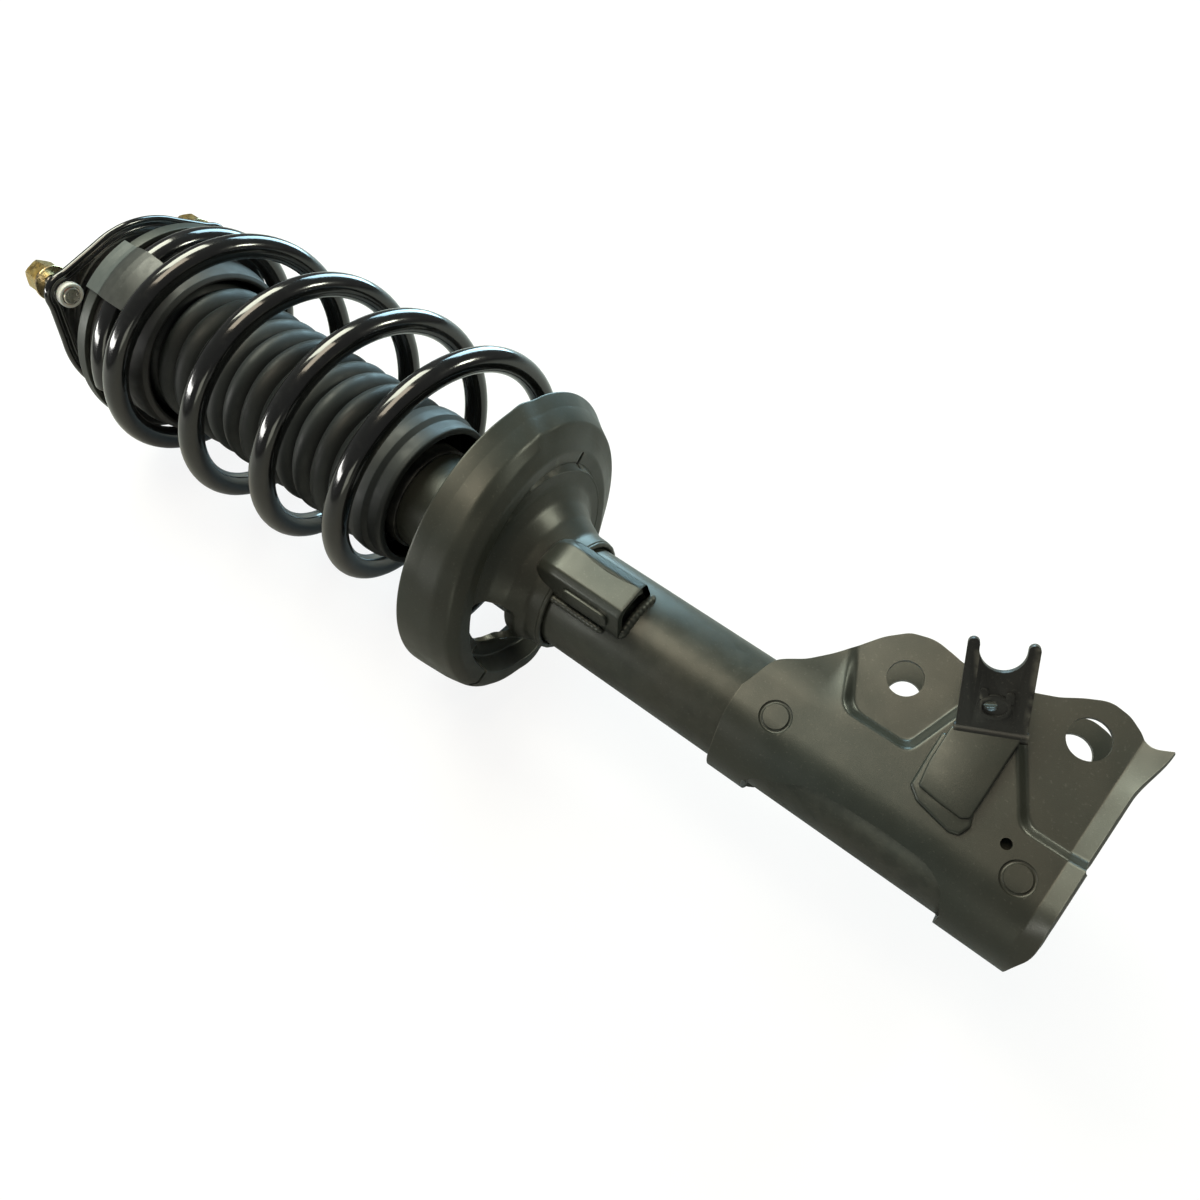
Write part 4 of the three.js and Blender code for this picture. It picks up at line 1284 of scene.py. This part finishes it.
def build_mount_plate():
    outline = plate_outline()
    core = inset_outline(outline, 2.2)
    plate = prism("mount_plate_shell", core, PLATE_Z, PLATE_Z + PLATE_SHEET, GLOSS)
    flat = np.zeros(len(outline))
    rim = np.column_stack([inset_outline(outline, 1.9), flat + PLATE_Z + 1.3])
    inner = np.column_stack([inset_outline(outline, 5.4), flat + PLATE_Z + 0.7])
    beads = [
        sweep("bead", rim, circle(1.9, 16), GLOSS, closed=True),
        sweep("bead", inner, circle(1.2, 12), GLOSS, closed=True),
    ]
    fuse(plate, beads, 40)
    housing = [
        (24.3, 555, 0),
        (24.3, 546.4, 0.4),
        (27.4, 546, 0.8),
        (27.4, MOUNT_TOP_Z - 4.4, 3),
        (20.6, MOUNT_TOP_Z - 0.2, 0.6),
        (19.8, MOUNT_TOP_Z - 2.4, 0.4),
        (24.3, MOUNT_TOP_Z - 5.4, 2),
    ]
    dome = revolve("dome", rounded_loop(housing), GLOSS, 96)
    fuse(carve(plate, [prism("cutter", circle(25.6, 96), 500, 600, None)]), [dome], 35)
    holes = []
    for angle in STUD_ANGLES:
        outline = circle(STUD_R + 0.3, 32) + polar(STUD_PCR, angle)[:2]
        holes.append(prism("cutter", outline, 540, 570, None))
    carve(plate, holes, 35)
    settle(plate, "top_mount", "gloss_black", "mount_plate")

    rubber = [(9.8, 555, 0), (9.8, 547.4, 0.5), (12, 546.6, 1.5), (16.5, 549, 3), (22.5, 547, 1.5)]
    rubber += [(24, 548, 0.6), (24, 560.2, 1), (19.3, 563.2, 1), (15, 561.6, 2)]
    rubber += [(11, 563.6, 1.2), (9.8, 562.4, 0.5)]
    bush = revolve("mount_rubber_bush", rounded_loop(rubber), SEAL, 96, sharp=50)
    settle(bush, "top_mount", "seal_rubber", "mount_rubber")
    sleeve = revolve("mount_sleeve_tube", ring_loop(6.3, 9.5, 541.3, MOUNT_TOP_Z, 0.6), STEEL, 64)
    settle(sleeve, "top_mount", "steel", "mount_sleeve")


def threaded(name, radius, low, high, pitch, material, segments=48):
    """A rod with a true screw thread, with its ends chamfered."""
    rows = int((high - low) / pitch * 8)
    heights = np.linspace(low, high, rows)
    angles = np.arange(segments) * TAU / segments
    depth = 0.55 * pitch
    phase = (heights[:, None] / pitch - angles[None] / TAU) % 1
    cut = depth * (1 - np.abs(2 * phase - 1)) ** 1.2
    end = np.minimum(heights - low, high - heights)[:, None]
    size = np.minimum(radius - cut, radius - 1.1 * depth + end)
    x, y = size * np.cos(angles), size * np.sin(angles)
    z = np.repeat(heights[:, None], segments, 1)
    verts = np.stack([x, y, z], -1).reshape(-1, 3)
    return make(name, verts, stack_faces(rows, segments), material, 50)


def hex_nut(name, hex_r, bore, low, high, flange_r, material):
    """A nut with chamfered corners, with a sloping flange when flange_r is larger than the hexagon."""
    flange = 1.4 if flange_r > hex_r else 0
    segments = 96
    columns = []
    for i in range(segments):
        angle = TAU * i / segments
        side = hex_r * math.cos(math.pi / 6) / math.cos((angle % (math.pi / 3)) - math.pi / 6)
        round_r = hex_r * 0.9
        foot = low + flange
        if flange:
            skirt = [(flange_r - 0.3, low), (flange_r, low + 0.4), (flange_r - 0.2, low + flange)]
            skirt.append((min(side, hex_r) + 0.5, foot + 1.1))
        else:
            skirt = [(min(side, round_r), low), (side, low + (side - min(side, round_r)) * 0.6 + 0.05)]
        top = high - max(side - round_r, 0) * 0.6
        crown = [(side, top - 0.05), (min(side, round_r), high), (bore + 1, high), (bore, high - 1)]
        column = [(bore, low + 1), (bore + 1, low)] + skirt + [(side, foot + 1.8)] + crown
        columns.append([polar(r, angle, z) for r, z in column])
    size = len(columns[0])
    return make(name, np.reshape(columns, (-1, 3)), grid_faces(segments, size, True, True), material, 25)


def shifted(obj, angle, radius):
    return moved(obj, Matrix.Translation(Vector(polar(radius, angle))))


def build_fasteners():
    for i, angle in enumerate(STUD_ANGLES, 1):
        head_z = foot_of(f"mount_stud_{i}")
        head = [(0.001, head_z + 1), (0.001, head_z - 0.15), (2.2, head_z - 0.1)]
        head += [(STUD_HEAD_R - 0.5, head_z), (STUD_HEAD_R, head_z + 0.4)]
        head += [(STUD_HEAD_R, PLATE_Z - 0.3), (STUD_R - 0.2, PLATE_Z)]
        head += [(STUD_R - 0.2, 558), (0.001, 558)]
        stud = revolve(f"mount_stud_head_{i}", head, BRIGHT, 40)
        settle(shifted(stud, angle, STUD_PCR), "top_mount", "steel", f"mount_stud_{i}")
        thread = threaded(f"mount_stud_thread_{i}", STUD_R, 556, top_of(f"mount_stud_{i}"), 1.25, BRIGHT)
        settle(shifted(thread, angle, STUD_PCR), "top_mount", "steel")
        low, high = foot_of(f"stud_retainer_{i}"), PLATE_Z - 0.3
        ring = revolve(f"stud_retainer_ring_{i}", ring_loop(4.95, 6.85, low, high, 0.7), NYLON, 48)
        settle(shifted(ring, angle, STUD_PCR), "top_mount", "white_plastic", f"stud_retainer_{i}")
        low, high = foot_of(f"stud_nut_{i}"), top_of(f"stud_nut_{i}")
        nut = hex_nut(f"stud_flange_nut_{i}", NUT_HEX_R, STUD_R + 0.1, low, high, NUT_FLANGE_R, ZINC)
        spin = Matrix.Rotation(0.4 + 0.7 * i, 4, "Z")
        settle(shifted(moved(nut, spin), angle, STUD_PCR), "top_mount", "yellow_zinc", f"stud_nut_{i}")

    washer = revolve("rod_washer_disc", ring_loop(6.4, 16, 566.3, 568.5, 0.5), ZINC, 64)
    settle(washer, "top_mount", "yellow_zinc", "rod_washer")
    nut = hex_nut("rod_hex_nut", 11, 6.2, foot_of("rod_nut"), top_of("rod_nut"), 11, ZINC)
    settle(nut, "top_mount", "yellow_zinc", "rod_nut")
    low = foot_of("piston_rod")
    shaft = [(0.001, low), (5.6, low), (6, low + 0.6), (6, 287), (9.6, 287), (10, 287.5)]
    shaft += [(10, 540), (9.4, 541), (5.7, 541), (5.7, 566), (0.001, 566)]
    rod = revolve("piston_rod_shaft", shaft, CHROME, 64)
    settle(rod, "top_mount", "chrome", "piston_rod")
    thread = threaded("piston_rod_thread", 6, 564, 580, 1.5, STEEL, 56)
    settle(thread, "top_mount", "steel")


def build_label():
    """A blank sticker that runs from the seat's rim over the end coil; its upper part is painted lit and
    its lower part painted in shade where it bends over the coil.
    """
    path = [(60.0, 532.0), (60.2, 529), (60.2, 524.5), (60.8, 521), (62.3, 517), (63.1, 512)]
    path += [(62.9, 507.5), (62.2, 503), (61.4, 499)]
    path = np.array(rounded(path, 4, 4))
    angles = np.radians(np.linspace(-103, -73, 40))
    sheet = 0.3
    # Rows above the bend take the painted-lit copy and rows below it take the painted-shade copy.
    for name, part, material in (
        ("spec_label_upper", path[path[:, 1] > 519.8], LABEL_PAINTED_LIT),
        ("spec_label_lower", path[path[:, 1] <= 521.5], LABEL_PAINTED_SHADE),
    ):
        outer = np.array([[polar(r + sheet, a, z) for a in angles] for r, z in part])
        inner = np.array([[polar(r, a, z) for a in angles] for r, z in part])
        sticker = closed_sheet(name, outer, inner, material, 50)
        settle(sticker, "upper_seat", "satin_black")


# ---- Scene ----

# Places here are in metres.
STRUT_MIDDLE = Vector((0, 0, 0.28))
FLOOR_WAY = Vector((-0.385, 0.922, 0))
FLOOR_DISTANCE = 0.078
FLOOR_REACH = 3.0
FLOOR_GLOW = 0.85
AMBIENT = 0.16


def build_stage():
    """A plain pale floor behind the strut. It shows only from the strut's side."""
    away = FLOOR_WAY.normalized()
    centre = away * FLOOR_DISTANCE + STRUT_MIDDLE
    across = Vector((0, 0, 1)).cross(away).normalized() * FLOOR_REACH
    rise = Vector((0, 0, FLOOR_REACH))
    corners = [centre + across * sx + rise * sz for sx, sz in ((-1, -1), (1, -1), (1, 1), (-1, 1))]
    mesh = bpy.data.meshes.new("floor")
    mesh.from_pydata([tuple(c) for c in corners], [], [(0, 1, 2, 3)])
    floor = bpy.data.objects.new("floor", mesh)
    bpy.context.scene.collection.objects.link(floor)
    if mesh.polygons[0].normal.dot(away) > 0:
        mesh.flip_normals()
    n = Nodes("floor_pale")
    seen = n.add("LightPath").outputs["Is Camera Ray"]
    n.finish(n.mix(seen, rgb(0.3, 0.3, 0.29), rgb(0.9, 0.9, 0.89)), 0.8)
    glow = n.add("Emission", {"Color": rgb(1, 1, 1), "Strength": 1.0})
    pale = n.add("MixShader", {0: n.times(seen, FLOOR_GLOW), 1: n.bsdf.outputs[0], 2: glow})
    clear = n.add("BsdfTransparent")
    output = n.tree.nodes["Material Output"]
    both = n.add("MixShader", {0: n.place.outputs["Backfacing"], 1: pale, 2: clear})
    n.put(both, output.inputs["Surface"])
    mesh.materials.append(n.material)


VIEW_FROM = Vector((-0.0378, -0.4572, 0.0488))
VIEW_ALONG = Vector((0.0861, 0.9314, 0.3538)).normalized()
VIEW_RIGHT = Vector((0.5801, 0.2418, -0.7778)).normalized()
LENS = 31.61


def build_camera():
    data = bpy.data.cameras.new("camera")
    data.sensor_width = 36
    data.lens = LENS
    data.clip_start = 0.01
    camera = bpy.data.objects.new("camera", data)
    bpy.context.scene.collection.objects.link(camera)
    up = VIEW_RIGHT.cross(VIEW_ALONG).normalized()
    right = VIEW_ALONG.cross(up).normalized()
    turn = Matrix((right, up, -VIEW_ALONG)).transposed().to_4x4()
    turn.translation = VIEW_FROM
    camera.matrix_world = turn
    bpy.context.scene.camera = camera


def soft_light(name, place, target, width, height, watts, colour):
    data = bpy.data.lights.new(name, "AREA")
    data.shape = "RECTANGLE"
    data.size = width
    data.size_y = height
    data.energy = watts
    data.color = colour
    lamp = bpy.data.objects.new(name, data)
    bpy.context.scene.collection.objects.link(lamp)
    lamp.location = place
    lamp.rotation_euler = (Vector(target) - Vector(place)).to_track_quat("-Z", "Y").to_euler()


def build_lights():
    middle = STRUT_MIDDLE
    knuckle = Vector((0.06, 0.01, 0.05))
    cool, warm, white = (0.55, 0.86, 1.0), (0.98, 1.0, 0.82), (1.0, 0.99, 0.95)
    brown = (1.0, 0.88, 0.68)

    def lamp(name, direction, distance, target, width, height, watts, colour):
        place = target + Vector(direction).normalized() * distance
        soft_light(name, place, target, width, height, watts, colour)

    lamp("cool_side", (0.92, 0.1, 0.4), 1.0, middle, 0.9, 0.4, 14, cool)
    lamp("key", (0.5, -0.74, 0.56), 1.1, middle, 0.6, 0.6, 14, warm)
    lamp("front", (0.25, -0.95, 0.05), 0.9, middle, 0.45, 0.45, 4, brown)
    lamp("left", (-0.62, -0.5, 0.6), 1.0, middle, 0.12, 0.8, 5, white)
    lamp("low", (-0.75, -0.3, -0.55), 0.9, middle, 0.5, 0.3, 1, warm)
    lamp("between_ears", (0.9, -0.25, -0.3), 0.5, knuckle, 0.12, 0.12, 1.6, warm)

    world = bpy.data.worlds.new("studio")
    bpy.context.scene.world = world
    world.use_nodes = True
    tree = world.node_tree
    seen = tree.nodes.new("ShaderNodeLightPath").outputs["Is Camera Ray"]
    strength = tree.nodes.new("ShaderNodeMapRange")
    strength.inputs["To Min"].default_value = AMBIENT
    strength.inputs["To Max"].default_value = 1.0
    tree.links.new(seen, strength.inputs["Value"])
    background = tree.nodes["Background"]
    background.inputs["Color"].default_value = (1, 1, 1, 1)
    tree.links.new(strength.outputs["Result"], background.inputs["Strength"])
    bpy.context.scene.view_settings.view_transform = "Standard"


paint_cad_nodes()
build_tube()
build_spring_seat()
build_knuckle_bracket()
build_coil()
build_boot()
build_hose_bracket()
build_link_bracket()
build_upper_seat()
build_bearing()
build_mount_plate()
build_fasteners()
build_label()
build_stage()
build_camera()
build_lights()
